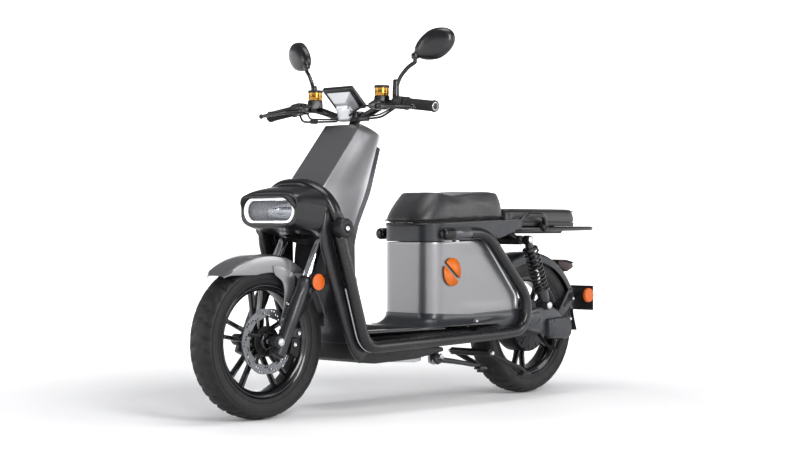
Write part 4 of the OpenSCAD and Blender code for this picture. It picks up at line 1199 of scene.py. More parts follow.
for side, tag in ((1, "left"), (-1, "right")):
    cup = [(18, 15), (19, 20.4), (24, 21.4), (25, 22), (28, 22), (29, 21.4), (38, 21.4), (42, 21)]
    base = at(222, side * 143, 919)
    gold = lathe("cup", [(a * MM, r * MM) for a, r in cup], base, (0, 0, 1), 40)
    body_block = slab("master",
        [(206, 898), (240, 898), (266, 900), (266, 914), (242, 926), (240, 938), (204, 938), (202, 919)],
                      side * 129, side * 158)
    saddle = slab("saddle", [(204, 900), (232, 900), (232, 912), (204, 912)], side * 129, side * 172)
    perch = slab("perch", [(236, 894), (266, 894), (266, 900), (236, 900)], side * 155, side * 181)
    perch_top = slab("perch_top", [(236, 910), (266, 910), (266, 918), (236, 918)], side * 155, side * 181)
    keep(join(f"reservoir_{tag}", [gold]), "steering", "gold_alloy",
         ["brake_reservoirs"] if side > 0 else (), smooth=40)
    keep(join(f"master_cylinder_{tag}", [body_block, saddle, perch, perch_top]), "steering", "bar_black",
         slot="bar_black", bevel=0.002, smooth=40)
    lid = [(0, 21), (0.5, 22.8), (6, 22.8), (8, 21.6), (8.2, 14), (7.4, 13), (7.4, 0.4)]
    keep(lathe(f"reservoir_lid_{tag}", [(a * MM, r * MM) for a, r in lid], at(222, side * 143, 960.4),
               (0, 0, 1), 40),
         "steering", "black_plastic", smooth=45)
    for k in range(2):
        keep(bolt(f"lid_screw_{tag}_{k}", at(222, side * 143 + (k * 2 - 1) * 10, 967.5), (0, 0, 1), 0.0028,
                  0.0016),
             "steering", "steel")
    blade = round_path([at(258, side * 174, 905), at(282, side * 205, 903), at(286, side * 270, 898),
                        at(281, side * 322, 894)], 0.03, 8)
    outline = [(0.0066 * a, 0.0044 * b) for a, b in circle(1, 16)]
    lever = sweep("blade", blade, outline, (0, 0, 1), lambda t: 1.15 - 0.3 * t)
    ball = lathe("ball", [(-0.008, 0.001), (-0.006, 0.0052), (0, 0.008), (0.006, 0.0052), (0.008, 0.001)],
                 at(281, side * 326, 894), (0, 1, 0), 20)
    hub = lathe("hub", [(0, 10 * MM), (0.001, 11.5 * MM), (0.008, 11.5 * MM), (0.009, 10 * MM)],
                at(254, side * 168, 900.5), (0, 0, 1), 28)
    pin = cylinder("pin", at(254, side * 168, 893), at(254, side * 168, 919.4), 0.004)
    keep(join(f"lever_{tag}", [lever, ball, hub, pin]), f"lever_{tag}", "bar_black", [f"brake_lever_{tag}"],
         smooth=45)

button_places = {"start_button": (-1, 138, (9, 18, 13), 0, "red_button"),
                 "horn_button": (1, 138, (9, 17, 6.6), -4, "grey_button"),
                 "turn_switch": (1, 138, (9, 9, 6.6), 4, "grey_button")}
for name, (side, inwards, size, up, colour) in button_places.items():
    axes = bar_axes(side)
    cap_block = rounded_block(f"{name}_cap", bar_at(side, inwards, -18.6, up), size, axes, 0.0018)
    keep(cap_block, name, colour, [name])


# Display, neck cover and cables

POD_TOP, POD_LOW = (264, 971), (201, 913)
pod_along = (at(POD_TOP[0], 0, POD_TOP[1]) - at(POD_LOW[0], 0, POD_LOW[1])).normalized()
pod_out = Vector((0, 1, 0)).cross(pod_along)
if pod_out.x > 0:
    pod_out = -pod_out
pod_mid = (at(POD_TOP[0], 0, POD_TOP[1]) + at(POD_LOW[0], 0, POD_LOW[1])) / 2
shell_c = pod_mid - pod_out * 0.006
shell = rounded_block("pod_shell", shell_c, (86, 126, 15), (pod_along, Vector((0, 1, 0)), pod_out), 0.005)
stalk = loft("pod_stalk", [
    [shell_c - pod_out * 0.004 + pod_along * (a * MM) + Vector((0, b * MM, 0)) for a, b in
     ((-30, -30), (14, -24), (14, 24), (-30, 30))],
    [at(248, y, 902) for y in (-24, -22, 22, 24)]])
keep(join("display_pod", [shell]), "steering", "satin_black_plastic", ["instrument_pod"], smooth=45)
under = loft("display_under", [
    [shell_c - pod_out * 0.007 + pod_along * (a * MM) + Vector((0, b * MM, 0)) for a, b in
     ((-34, -44), (30, -50), (30, 50), (-34, 44))],
    [shell_c - pod_out * 0.026 + pod_along * (a * MM) + Vector((0, b * MM, 0)) for a, b in
     ((-40, -22), (2, -24), (2, 24), (-40, 22))]])
keep(join("display_back", [under, stalk]), "steering", "trim_silver", slot="silver_panel", bevel=0.004,
     smooth=40)
glass = rounded_block("display_glass", shell_c + pod_out * 0.0072, (72, 110, 2),
                      (pod_along, Vector((0, 1, 0)), pod_out),
                      0.0009)
keep(glass, "steering", M["screen"], slot="clear_lens")

neck_rings = []
for z, x0, x1, half in ((905, 229, 249, 30), (897, 228, 248, 28), (884, 226, 245, 25), (871, 226, 243, 24)):
    neck_rings.append([at(x0, -half, z), at(x1 - 4, -half, z), at(x1, -half * 0.7, z), at(x1 + 1, 0, z),
                       at(x1, half * 0.7, z), at(x1 - 4, half, z), at(x0, half, z)])
keep(loft("neck_cover", neck_rings), "steering", "trim_silver", ["steering_cover"], slot="silver_panel",
     bevel=0.003, smooth=30)

lines = []
for side in (1, -1):
    lines.append(tube("hose", round_path([at(x, side * y, z) for x, y, z in (
        (238, 136, 908), (268, 112, 908), (270, 76, 892), (244, 30, 884))], 0.018, 6), 0.0033, 12))
    lines.append(tube("wire", round_path([at(x, side * y, z) for x, y, z in (
        (230, 206, 899), (250, 170, 872), (262, 100, 868), (240, 30, 868))], 0.018, 6), 0.0033, 12))
    lines.append(tube("wire2", round_path([at(x, side * y, z) for x, y, z in (
        (214, 190, 905), (238, 150, 880), (250, 90, 876), (236, 28, 874))], 0.018, 6), 0.0026, 12))
keep(join("control_lines", lines), "steering", "rubber", ["control_cables"])
# Ribbed boots where the hoses bend
for side, tag in ((1, "left"), (-1, "right")):
    boot = []
    for k in range(13):
        boot += [(k * 2.4, 5.4), (k * 2.4 + 1.2, 6.8)]
    direction = at(262, side * 100, 869) - at(256, side * 128, 871)
    keep(lathe(f"line_boot_{tag}", [(a * MM, r * MM) for a, r in boot], at(257, side * 124, 870.5),
               direction, 20),
         "steering", "slider_grey", slot="rubber", smooth=50)

stems = []
MIRROR_JOINT = (174, 233, 1050)
MIRROR_ROLL = math.radians(21)
for side in (1, -1):
    line = round_path([at(196, side * 176, 950), at(193, side * 186, 990), at(182, side * 214, 1022),
                       at(174, side * 233, 1034)], 0.02, 6)
    stems.append(tube("stem", line, 0.006, 18))
    boot = [(0, 12), (6, 12.4), (10, 11), (40, 10.4), (66, 9.6), (72, 8.4), (74, 6.2)]
    stems.append(lathe("boot", [(a * MM, r * MM) for a, r in boot], at(196, side * 176, 912), (0, 0, 1), 28))
    stems.append(cylinder("post", at(174, side * 233, 1032), at(174, side * 233, 1058), 0.006))
keep(join("mirror_arms", stems), "steering", "bar_black", ["mirror_stems"], smooth=45)


def mirror_head(side, tag):
    """Egg-shaped mirror shell with its neck at the stem, and the glass on the rider's side."""
    centre = at(154, side * 289, 1085)
    facing = Vector((-1, 0, 0))
    facing.rotate(Matrix.Rotation(math.radians(16 * side), 3, "Z"))
    long_way = Vector((0, side * math.cos(MIRROR_ROLL), math.sin(MIRROR_ROLL)))
    long_way = (long_way - long_way.dot(facing) * facing).normalized()
    short_way = facing.cross(long_way)
    n = 48

    def ring(depth, size):
        out = []
        for k in range(n):
            a = TAU * k / n
            c, s = math.cos(a), math.sin(a)
            narrow = 1 - 0.2 * max(0, -c)
            out.append(centre + long_way * (69 * size * c * MM) + short_way * (45 * size * s * narrow * MM)
                       + facing * (depth * MM))
        return out
    shell = loft("shell", [ring(9, 0.93), ring(10, 0.97), ring(8, 1.0), ring(1, 0.985), ring(-6, 0.93),
                           ring(-12, 0.8), ring(-16, 0.6), ring(-18, 0.35), ring(-18.6, 0.1)])
    joint = at(MIRROR_JOINT[0], side * MIRROR_JOINT[1], MIRROR_JOINT[2])
    end = centre - long_way * 0.05
    neck_path = [joint + Vector((0, 0, 0.003)), joint.lerp(end, 0.5) + Vector((0, 0, 0.002)), end]
    neck = tube("neck", neck_path, 0.010, 20)
    collar = lathe("collar",
                   [(-0.006, 0.0062), (-0.006, 0.0105), (-0.004, 0.0115), (0.008, 0.0115), (0.012, 0.008),
                    (0.013, 0.0005)], joint, (0, 0, 1), 28)
    keep(join(f"mirror_shell_{tag}", [shell, neck, collar]), f"mirror_{tag}", "satin_black_plastic",
         [f"mirror_{tag}"], smooth=55)
    face = loft(f"mirror_glass_{tag}", [ring(8.2, 0.92), ring(9.6, 0.91), ring(9.7, 0.5)])
    keep(face, f"mirror_{tag}", M["mirror_glass"], slot="chrome")


for side, tag in ((1, "left"), (-1, "right")):
    mirror_head(side, tag)


# Fork

sliders, stanchions = [], []
for s in (1, -1):
    slider = [(-34, 15), (-32, 19), (-24, 20), (60, 20), (64, 21), (150, 21), (154, 20), (186, 20),
              (190, 22.4), (203, 22.4), (205, 20), (205, 15.2)]
    sliders.append(lathe("slider", [(a * MM, r * MM) for a, r in slider], fork_at(-24, s * 80, 0),
                         STEER_AXIS, 40))
    sliders.append(cylinder("boss", fork_at(0, s * 96, 0), fork_at(0, s * 64.5, 0), 0.017, 32))
    sliders.append(rounded_block("lug", fork_at(-12, s * 81.5, 0), (27, 26, 34),
                                 (Matrix.Rotation(-CASTER, 3, "Y") @ Vector((1, 0, 0)), Vector((0, 1, 0)),
                                  STEER_AXIS),
                                 0.005))
    stanchions.append(lathe("stanchion", [(a * MM, 15 * MM) for a in (140, 366)], fork_at(-24, s * 80, 0),
                            STEER_AXIS, 40))
    seal = [(200, 15.2), (200, 19.5), (206, 20.5), (212, 18.5), (214, 15.3)]
    keep(lathe(f"fork_seal_{'left' if s > 0 else 'right'}", [(a * MM, r * MM) for a, r in seal],
               fork_at(-24, s * 80, 0), STEER_AXIS, 36, close=True), "fork", "rubber")
keep(join("fork_lowers", sliders), "fork", "slider_grey", ["fork_sliders"], smooth=45)
keep(join("fork_tubes", stanchions), "steering", "chrome", ["fork_stanchions"], smooth=45)
for s, tag in ((1, "left"), (-1, "right")):
    for k, z in enumerate((348, 360)):
        keep(bolt(f"clamp_bolt_{tag}_{k}", fork_at(12, s * 62, z),
                  Matrix.Rotation(-CASTER, 3, "Y") @ Vector((1, 0, 0)),
                  0.005, 0.006), "steering", "steel")
    nut = [(0, 9), (1, 12.4), (8, 12.4), (10, 10), (10.5, 5), (8, 4.6), (8, 0.4)]
    keep(lathe(f"axle_nut_{tag}", [(a * MM, r * MM) for a, r in nut], fork_at(0, s * 96.5, 0), (0, s, 0), 6),
         "fork", "steel", ["front_axle"] if s > 0 else (), bevel=0.0006)
keep(cylinder("front_axle_rod", fork_at(0, 107, 0), fork_at(0, -107, 0), 0.0074), "fork", "steel")
for s, tag in ((1, "left"), (-1, "right")):
    disc = [(0, 20), (1, 23.6), (2.2, 24), (9, 24), (10, 23), (10, 20.5), (8.6, 20), (9.4, 10), (9.6, 0.4)]
    keep(lathe(f"side_reflector_{tag}", [(a * MM, r * MM) for a, r in disc], at(454, s * 108, 392),
               (0, s, 0), 48),
         "fork", "orange_lens", ["side_reflectors"] if s > 0 else (), smooth=45)
    keep(rounded_block(f"reflector_stay_{tag}", at(461, s * 104, 392), (18, 10, 12),
                       (Vector((1, 0, 0)), Vector((0, 1, 0)), Vector((0, 0, 1))), 0.003), "fork",
         "black_plastic")
    rim = [(-1, 22), (-1, 25), (7, 25.4), (9.6, 24.6), (9.6, 23.6), (7, 23.8), (0, 23.8)]
    keep(lathe(f"reflector_rim_{tag}", [(a * MM, r * MM) for a, r in rim], at(454, s * 108, 392), (0, s, 0),
               48,
               close=True), "fork", "black_plastic", smooth=45)


# Wheels

def wheel_point(axle, angle, r, y):
    """A point at an angle and radius round an axle."""
    return axle + Vector((r * math.cos(angle), y, r * math.sin(angle)))


def tyre_profile():
    """Half section from the bead to the middle of the tread: (radius, half width) in millimetres."""
    return [(159, 31), (166, 35.5), (170, 38), (173, 38.2), (180, 41.5), (190, 43.8), (200, 44.6),
            (206, 44.2), (208, 44.6), (211, 43.4), (216, 38), (220, 31), (222.6, 22), (224, 11), (224.4, 0)]


def tyre(name, axle, body, node):
    """Tyre carcass with a grooved tread: zigzag blocks cut into the shoulders."""
    half = tyre_profile()
    section = [(r, -w) for r, w in half] + [(r, w) for r, w in half[-2::-1]]
    turns = 288
    rings = []
    for k in range(turns):
        a = TAU * k / turns
        ring = []
        for r, w in section:
            cut = 0
            across = abs(w)
            if r > 214:
                lean = (k + int(across / 7)) % 8
                if 9 < across < 40 and lean < 2:
                    cut = 4.2
                elif 8 < across < 12:
                    cut = 0.6
            ring.append(wheel_point(axle, a, (r - cut) * MM, w * MM))
        rings.append(ring)
    outer = loft(name, rings, cap=False, close=True)
    # Raised size band and rim guard ribs on both sidewalls
    extra = []
    for s in (1, -1):
        for r, w in ((176.5, 40.8), (203, 45.0)):
            extra.append(ring_bead("rib", axle, r, s * w, 0.8))
    inner = lathe("bead", [(y * MM, r * MM) for y, r in ((-31, 159), (-30, 156), (30, 156), (31, 159))],
                  axle,
                  (0, 1, 0), 96, close=True)
    return keep(join(name, [outer, inner] + extra), body, "tyre", [node], smooth=32)


def ring_bead(name, axle, r, y, thick, n=8, turns=144):
    """A thin round bead on a wheel."""
    rings = []
    for k in range(turns):
        a = TAU * k / turns
        rings.append([wheel_point(axle, a, (r + thick * math.cos(TAU * j / n)) * MM,
                                  (y + thick * math.sin(TAU * j / n)) * MM) for j in range(n)])
    return loft(name, rings, cap=False, close=True)


def rim_barrel(name, axle):
    """Barrel of a rim with its bead seats."""
    half = [(143, 6), (144, 18), (146, 24), (152, 29), (157, 31.5), (162, 34), (164.4, 36), (165, 35.6),
            (165, 33), (160, 31.4), (158.6, 30), (158.6, 24), (151, 20), (151, 0)]
    section = [(w, r) for r, w in half] + [(-w, r) for r, w in half[-2::-1]]
    return lathe(name, [(w * MM, r * MM) for w, r in section], axle, (0, 1, 0), 128, close=True)


def spoke(name, axle, angle, root_r, tip_r, root_off, tip_off, root_w, tip_w, depth):
    """Cast spoke, tapering from the hub to the rim."""
    radial = Vector((math.cos(angle), 0, math.sin(angle)))
    across = Vector((-math.sin(angle), 0, math.cos(angle)))
    rings = []
    for k in range(7):
        t = k / 6
        r = root_r + (tip_r - root_r) * t
        off = root_off + (tip_off - root_off) * t
        w = root_w + (tip_w - root_w) * t + 3.0 * max(0, t - 0.8) * 5 * (t - 0.8)
        d = depth * (1 - 0.22 * math.sin(math.pi * t))
        c = axle + radial * (r * MM) + across * (off * MM)
        shape = [(-1, -0.6), (-0.6, -1), (0.6, -1), (1, -0.6), (1, 0.6), (0.6, 1), (-0.6, 1), (-1, 0.6)]
        rings.append([c + across * (u * w / 2 * MM) + Vector((0, v * d * MM, 0)) for u, v in shape])
    return loft(name, rings)


def wheel(name, axle, body, node, hub_parts, root_r, tilt):
    """A cast wheel: barrel, paired spokes and hub parts."""
    parts = [rim_barrel("barrel", axle)]
    for k in range(5):
        angle = TAU * k / 5 + tilt
        for s in (1, -1):
            parts.append(spoke("spoke", axle, angle, root_r, 147, s * 10, s * 25, 12, 12, 12))
    keep(join(name, parts + hub_parts), body, "rim_black", [node], smooth=38)
    # A thin ring round each flange: dark on the front wheel, bright steel on the rear
    line = M["trim_dark"] if body == "front_wheel" else M["disc_steel"]
    for s, tag in ((1, "left"), (-1, "right")):
        keep(ring_bead(f"{name}_line_{tag}", axle, 158.5, s * 33.3, 1.2), body, line, slot="disc_steel")


def hub(axle):
    """Front hub, turned from one profile, with the disc's seat on the left."""
    profile = [(-48, 9), (-48, 20), (-45, 24), (-30, 25), (-18, 34), (18, 34), (30, 25), (38, 27), (45, 24),
               (48, 20), (48, 9)]
    return lathe("hub", [(y * MM, r * MM) for y, r in profile], axle, (0, 1, 0), 64, close=True)


wheel("front_wheel_casting", FRONT_AXLE, "front_wheel", "front_rim", [hub(FRONT_AXLE)], 24, math.radians(90))
tyre("front_tyre_rubber", FRONT_AXLE, "front_wheel", "front_tyre")
wheel("rear_wheel_casting", REAR_AXLE, "rear_wheel", "rear_rim", [], 86, math.radians(60))
tyre("rear_tyre_rubber", REAR_AXLE, "rear_wheel", "rear_tyre")

# Brake disc: waved, drilled band on a five-armed carrier
y0, y1 = 40, 44
outer, inner = [], []
segments = 180
verts, faces = [], []
for k in range(segments):
    a = TAU * k / segments
    wave = 1.2 * math.cos(a * 10)
    for r, y in ((94 + wave, y0), (94 + wave, y1), (68 - wave, y1), (68 - wave, y0)):
        verts.append(wheel_point(FRONT_AXLE, a, r * MM, y * MM))
for k in range(segments):
    b, c = k * 4, ((k + 1) % segments) * 4
    for j in range(4):
        faces.append((b + j, b + (j + 1) % 4, c + (j + 1) % 4, c + j))
band_obj = new_object("disc_band", verts, faces)
holes = []
for k in range(30):
    a = TAU * k / 30
    for j in range(2):
        centre = wheel_point(FRONT_AXLE, a + j * TAU / 60, (88 - 7 * ((k + j) % 3)) * MM, 0)
        holes.append(cylinder("hole", centre + Vector((0, 36 * MM, 0)), centre + Vector((0, 48 * MM, 0)),
                              0.0033, 12))
cutter = join("cutter", holes)
cut = band_obj.modifiers.new("drill", "BOOLEAN")
cut.operation = "DIFFERENCE"
cut.object = cutter
cut.solver = "EXACT"
apply_modifiers(band_obj)
bpy.data.objects.remove(cutter)
keep(band_obj, "front_wheel", "disc_steel", ["front_disc"], smooth=30)
arms = []
for k in range(5):
    angle = TAU * k / 5 + 0.3
    arms.append(spoke("arm", FRONT_AXLE + Vector((0, 42 * MM, 0)), angle, 30, 74, 6, 0, 13, 10, 2.4))
    arms.append(bolt("rivet", wheel_point(FRONT_AXLE, angle, 70 * MM, 44 * MM), (0, 1, 0), 0.005, 0.003))
    arms.append(bolt("mount", wheel_point(FRONT_AXLE, angle + 0.6, 34 * MM, 43 * MM), (0, 1, 0), 0.0045,
                     0.004))
centre_ring = [(38, 27.2), (38, 44), (44, 44), (44, 27.2)]
arms.append(lathe("carrier", [(y * MM, r * MM) for y, r in centre_ring], FRONT_AXLE, (0, 1, 0), 48,
                  close=True))
keep(join("disc_carrier", arms), "front_wheel", "caliper_black", slot="disc_steel", smooth=35)

# Caliper with its bracket and hose
cal = []
outline = arc(FRONT_AXLE.x / MM - MID_X / MM, 224.5, 78, 176, 208, 6) + \
    arc(FRONT_AXLE.x / MM - MID_X / MM, 224.5, 113, 208, 176, 6)
cal.append(slab("cal_in", outline, 30, 38.6))
cal.append(slab("cal_out", outline, 45.4, 62))
bridge = arc(FRONT_AXLE.x / MM - MID_X / MM, 224.5, 98, 178, 206, 6) + \
    arc(FRONT_AXLE.x / MM - MID_X / MM, 224.5, 115, 206, 178, 6)
cal.append(slab("cal_bridge", bridge, 36, 50))
keep(join("caliper_body", cal), "fork", "caliper_black", ["front_caliper"], bevel=0.003, smooth=40)
ax = 585
keep(slab("caliper_bracket", [(ax - 110, 230.5), (ax - 66, 234.5), (ax - 30, 246.5), (ax - 30, 258.5),
                              (ax - 112, 258.5)], 58, 66), "fork", "slider_grey", slot="caliper_black",
     bevel=0.0025, smooth=40)
for k, (x, z) in enumerate(((ax - 100, 244), (ax - 40, 252), (ax - 88, 212))):
    keep(bolt(f"caliper_bolt_{k}", at(x, 66 if k < 2 else 62, z), (0, 1, 0), 0.006, 0.005), "fork", "steel")
hose = round_path([at(500, 58, 262), at(474, 72, 300), fork_at(-46, 104, 150), fork_at(-44, 104, 196)],
                  0.03, 8)
keep(tube("brake_hose", hose, 0.003, 12), "fork", "rubber")


# Front fender

def fender_rows(axle, a0, a1, steps, sections):
    """Rows of points round the wheel; each section is (radius, y) in millimetres at share t."""
    rows = []
    for k in range(steps + 1):
        t = k / steps
        a = math.radians(a0 + (a1 - a0) * t)
        rows.append([wheel_point(axle, a, r * MM, y * MM) for r, y in sections(t)])
    return rows


FENDER_A0, FENDER_A1 = 50, 166


def front_section(t):
    """Peaked crown with crisp shoulders; it narrows to a tip at both ends."""
    a = math.radians(FENDER_A0 + (FENDER_A1 - FENDER_A0) * t)
    width = 53 - 15 * min(1, max(0, t - 0.5) / 0.25)
    if t < 0.04:
        width = 34 + 19 * t / 0.04
    level = 190 / math.sin(a)
    edge = min(238, max(level, 196 if t < 0.5 else 196 + 250 * (t - 0.5)))
    half = [(edge, width), ((edge + 241) / 2, width + 0.8), (241, width), (245.5, width * 0.8),
            (246.4, width * 0.4),
            (246.8, 0)]
    return half + [(r, -y) for r, y in half[-2::-1]]


keep(open_skin("front_mudguard", fender_rows(FRONT_AXLE, FENDER_A0, FENDER_A1, 60, front_section), 0.003),
     "fork",
     "silver_panel", ["front_fender"], bevel=0.001, smooth=22)
keep(open_skin("front_mudflap", fender_rows(FRONT_AXLE, 163, 172, 6, lambda t: [
    (236, 36 - 6 * t), (239, 20), (239.5, 0), (239, -20), (236, -36 + 6 * t)]), 0.003), "fork",
     "charcoal_plastic",
     slot="silver_panel", bevel=0.0008)


def side_stay(name, side):
    """Broad cheek that drops from the mudguard's crown edge down the fork leg."""
    outline = [(ax - 10, 440), (ax - 58, 436), (ax - 96, 412), (ax - 92, 372), (ax - 76, 322),
               (ax - 66, 288), (ax - 48, 268), (ax - 38, 276), (ax - 50, 318), (ax - 56, 366),
               (ax - 46, 396), (ax - 14, 414)]
    rough = [at(x, 0, z) for x, z in outline]
    smooth_line = round_path(rough + [rough[0]], 0.016, 3)[:-1]
    inner = [Vector((p.x, side * 0.054, p.z)) for p in smooth_line]
    outer = [Vector((p.x, side * 0.0585, p.z)) for p in smooth_line]
    return loft(name, [inner, outer])


for s, tag in ((1, "left"), (-1, "right")):
    keep(side_stay(f"fender_cheek_{tag}", s), "fork", "silver_panel", bevel=0.0016, smooth=30)
    for k, (x, z) in enumerate(((ax - 64, 330), (ax - 48, 284))):
        keep(bolt(f"fender_bolt_{tag}_{k}", at(x, s * 58, z), (0, s, 0), 0.005, 0.004), "fork", "chrome")


# Swingarm, hub motor and rear fender

arm_parts = []
for s in (1, -1):
    beam = [(-274, 190), (-274, 220), (-300, 231), (-420, 240), (-545, 247), (-612, 249), (-616, 228),
            (-612, 207), (-560, 193), (-420, 193)]
    arm_parts.append(slab("beam", beam, s * 66, s * 84))
    arm_parts.append(slab("bracket", [(-530, 244), (-520, 282), (-588, 282), (-606, 248)], s * 84, s * 112))
    arm_parts.append(slab("shock_lug", [(-573, 272), (-573, 303), (-545, 303), (-545, 272)], s * 98,
                          s * 112))
    arm_parts.append(cylinder("stud", at(-559, s * 100, 294), at(-559, s * 146, 294), 0.005))
arm_parts.append(slab("brace", [(-342, 186), (-316, 186), (-316, 199), (-342, 199)], -70, 70))
arm_parts.append(lathe("pivot_tube", [(-0.036, 0.011), (-0.036, 0.017), (0.036, 0.017), (0.036, 0.011)],
                       at(-290, 0, 205), (0, 1, 0), 32, close=True))
keep(join("rear_swingarm", arm_parts), "swingarm", "swingarm_grey", ["swingarm"], bevel=0.003, smooth=40)
keep(cylinder("rear_axle_rod", REAR_AXLE + Vector((0, 0.1, 0)), REAR_AXLE - Vector((0, 0.1, 0)), 0.0075),
     "swingarm", "steel")
for s, tag in ((1, "left"), (-1, "right")):
    nut = [(0, 9), (1, 12.4), (8, 12.4), (10, 10), (10.5, 5), (8, 4.6), (8, 0.4)]
    keep(lathe(f"rear_nut_{tag}", [(a * MM, r * MM) for a, r in nut], REAR_AXLE + Vector((0, s * 0.084, 0)),
               (0, s, 0), 6), "swingarm", "steel", bevel=0.0006)

motor = [(-43, 10), (-43, 30), (-44, 60), (-40, 84), (-34, 87), (-20, 88), (20, 88), (34, 87), (40, 84),
         (44, 60), (43, 30), (43, 10)]
shell = lathe("motor_shell", [(y * MM, r * MM) for y, r in motor], REAR_AXLE, (0, 1, 0), 96, close=True)
fins = []
for k in range(12):
    for s in (1, -1):
        a = TAU * k / 12 + 0.1
        fins.append(spoke("fin", REAR_AXLE + Vector((0, s * 0.0425, 0)), a, 36, 76, 0, 0, 4, 6, 2.2))
        fins.append(bolt("screw", wheel_point(REAR_AXLE, a + 0.26, 80 * MM, s * 41 * MM), (0, s, 0), 0.0032,
                         0.002))
keep(join("hub_motor_shell", [shell] + fins), "rear_wheel", "motor_alloy", ["hub_motor"], smooth=35)


def soft_outline(points, cut=0.014, steps=5):
    """Closed outline in X and Z with its corners rounded, in millimetres."""
    closed = [at(x, 0, z) for x, z in points]
    middle_start = (closed[0] + closed[-1]) / 2
    line = round_path([middle_start] + closed + [middle_start], cut, steps)[:-1]
    return [((p.x - MID_X) / MM, p.z / MM) for p in line]


def domed_slab(name, outline, y0, y1, inset, push):
    """A cover with straight sides and a raised, smaller outer face."""
    soft = soft_outline(outline)
    cx = sum(x for x, z in soft) / len(soft)
    cz = sum(z for x, z in soft) / len(soft)
    rings = []
    for y, size in ((y0, 1.0), (y1 - push, 1.0), (y1 - push * 0.4, 1 - inset * 0.35), (y1, 1 - inset)):
        rings.append([at(cx + (x - cx) * size, y, cz + (z - cz) * size) for x, z in soft])
    return loft(name, rings)


cover = domed_slab("arm_cover",
                   [(-440, 232), (-470, 278), (-512, 289), (-600, 289), (-640, 262), (-648, 222),
                    (-620, 206), (-520, 204), (-470, 214)], 114, 132, 0.1, 7)
box = domed_slab("motor_box", [(-552, 250), (-660, 256), (-672, 228), (-668, 190), (-640, 180), (-556, 186)],
                 130, 152, 0.1, 8)
for obj, dark in ((cover, 0), (box, 1)):
    keep(obj, "swingarm", "cover_grey" if not dark else M["charcoal_plastic"],
         ["motor_cover"] if not dark else (),
         slot="cover_grey", smooth=40)
swoop = domed_slab("cover_ridge",
                   [(-452, 236), (-476, 268), (-512, 278), (-536, 262), (-520, 238), (-478, 226)], 128,
                   135, 0.16, 4)
keep(swoop, "swingarm", "cover_grey", smooth=40)
for k, (x, z) in enumerate(((-576, 243), (-650, 246), (-658, 200), (-570, 196))):
    keep(bolt(f"box_screw_{k}", at(x, 148, z), (0, 1, 0), 0.0042, 0.004), "swingarm", "steel")
boot = []
for k in range(9):
    boot += [(k * 4, 7.6), (k * 4 + 2, 9.4)]
keep(lathe("cable_boot", [(a * MM, r * MM) for a, r in boot], at(-632, 140, 184), (0.25, -0.35, -1), 20),
     "swingarm", "rubber")
lead = round_path([at(-624, 128, 150), at(-618, 108, 146), at(-596, 92, 168), at(-588, 70, 200)], 0.02, 6)
keep(tube("motor_lead", lead, 0.0055, 14), "swingarm", "rubber")


def rear_section(t):
    """Round-shouldered section of the rear fender, deeper at its front."""
    half = [(208 + 10 * t, 54), (232, 53.5), (238, 50), (241, 40), (242.5, 20), (243, 0)]
    return half + [(r, -y) for r, y in half[-2::-1]]


keep(open_skin("rear_mudguard", fender_rows(REAR_AXLE, 62, 158, 44, rear_section), 0.0035), "swingarm",
     "charcoal_plastic", ["rear_fender"], bevel=0.001, smooth=24)
tail = open_skin("mudguard_tail", fender_rows(REAR_AXLE, 155, 168, 8, lambda t: [
    (r, y * (1 - 0.3 * t)) for r, y in rear_section(1)]), 0.0035)
keep(tail, "swingarm", "charcoal_plastic", bevel=0.001, smooth=24)
flap = []
for k in range(11):
    t = k / 10
    a, b = at(-822, 0, 298), at(-846, 0, 197)
    p = a.lerp(b, t) + Vector((0.005 * math.sin(math.pi * t), 0, 0))
    flap.append([p + Vector((0.002 * math.cos(u * 3), 0.030 * u, 0))
                 for u in (-1, -0.9, -0.5, 0, 0.5, 0.9, 1)])
keep(open_skin("rear_mudflap", flap, 0.003), "swingarm", "rubber", bevel=0.001)
for s, tag in ((1, "left"), (-1, "right")):
    strut = [slab("arm", [(-800, 300), (-786, 342), (-764, 336), (-700, 250), (-716, 236)], s * 54, s * 60),
             slab("foot", [(-716, 236), (-604, 236), (-604, 250), (-716, 252)], s * 100, s * 112),
             slab("step", [(-716, 236), (-700, 236), (-700, 250), (-716, 250)], s * 54, s * 102)]
    keep(join(f"mudguard_strut_{tag}", strut), "swingarm", "charcoal_plastic", bevel=0.002, smooth=40)
    keep(slab(f"strut_window_{tag}", [(-785, 310), (-776, 328), (-768, 325), (-736, 283), (-742, 280)],
              s * 60.2,
              s * 61), "swingarm", "black_plastic", slot="charcoal_plastic")
    for k, (x, z) in enumerate(((-788, 308), (-708, 243))):
        keep(bolt(f"strut_bolt_{tag}_{k}", at(x, s * (60 if k == 0 else 112), z), (0, s, 0), 0.005, 0.004),
             "swingarm", "steel")
    arm = slab(f"plate_arm_{tag}", [(-800, 300), (-864, 316), (-864, 330), (-788, 336)], s * 24, s * 34)
    keep(arm, "swingarm", "black_plastic", slot="charcoal_plastic", bevel=0.002)

plate_back = slab("plate_back", [(-866, 266), (-866, 350), (-862, 350), (-862, 266)], -88, 88)
fold = slab("plate_fold", [(-866, 346), (-866, 350), (-856, 350), (-856, 346)], -86, 86)
spine = slab("plate_spine", [(-872, 300), (-872, 330), (-866, 330), (-866, 300)], -46, 46)
keep(join("plate_carrier", [plate_back, fold, spine]), "swingarm", M["number_plate"],
     slot="charcoal_plastic",
     bevel=0.0012)
for s, tag in ((1, "left"), (-1, "right")):
    keep(bolt(f"plate_bolt_{tag}", at(-866, s * 50, 334), (-1, 0, 0), 0.0055, 0.004), "swingarm", "steel")
    disc = [(0, 22), (1, 24), (8, 24), (10, 22.6), (10, 0.4)]
    keep(lathe(f"rear_reflector_{tag}", [(a * MM, r * MM) for a, r in disc], at(-842, s * 80, 318),
               (0, s, 0), 40),
         "swingarm", "orange_lens", smooth=45)
lamp_side = [(-734, 416), (-730, 436), (-770, 435), (-806, 428), (-812, 420), (-812, 412), (-778, 398)]
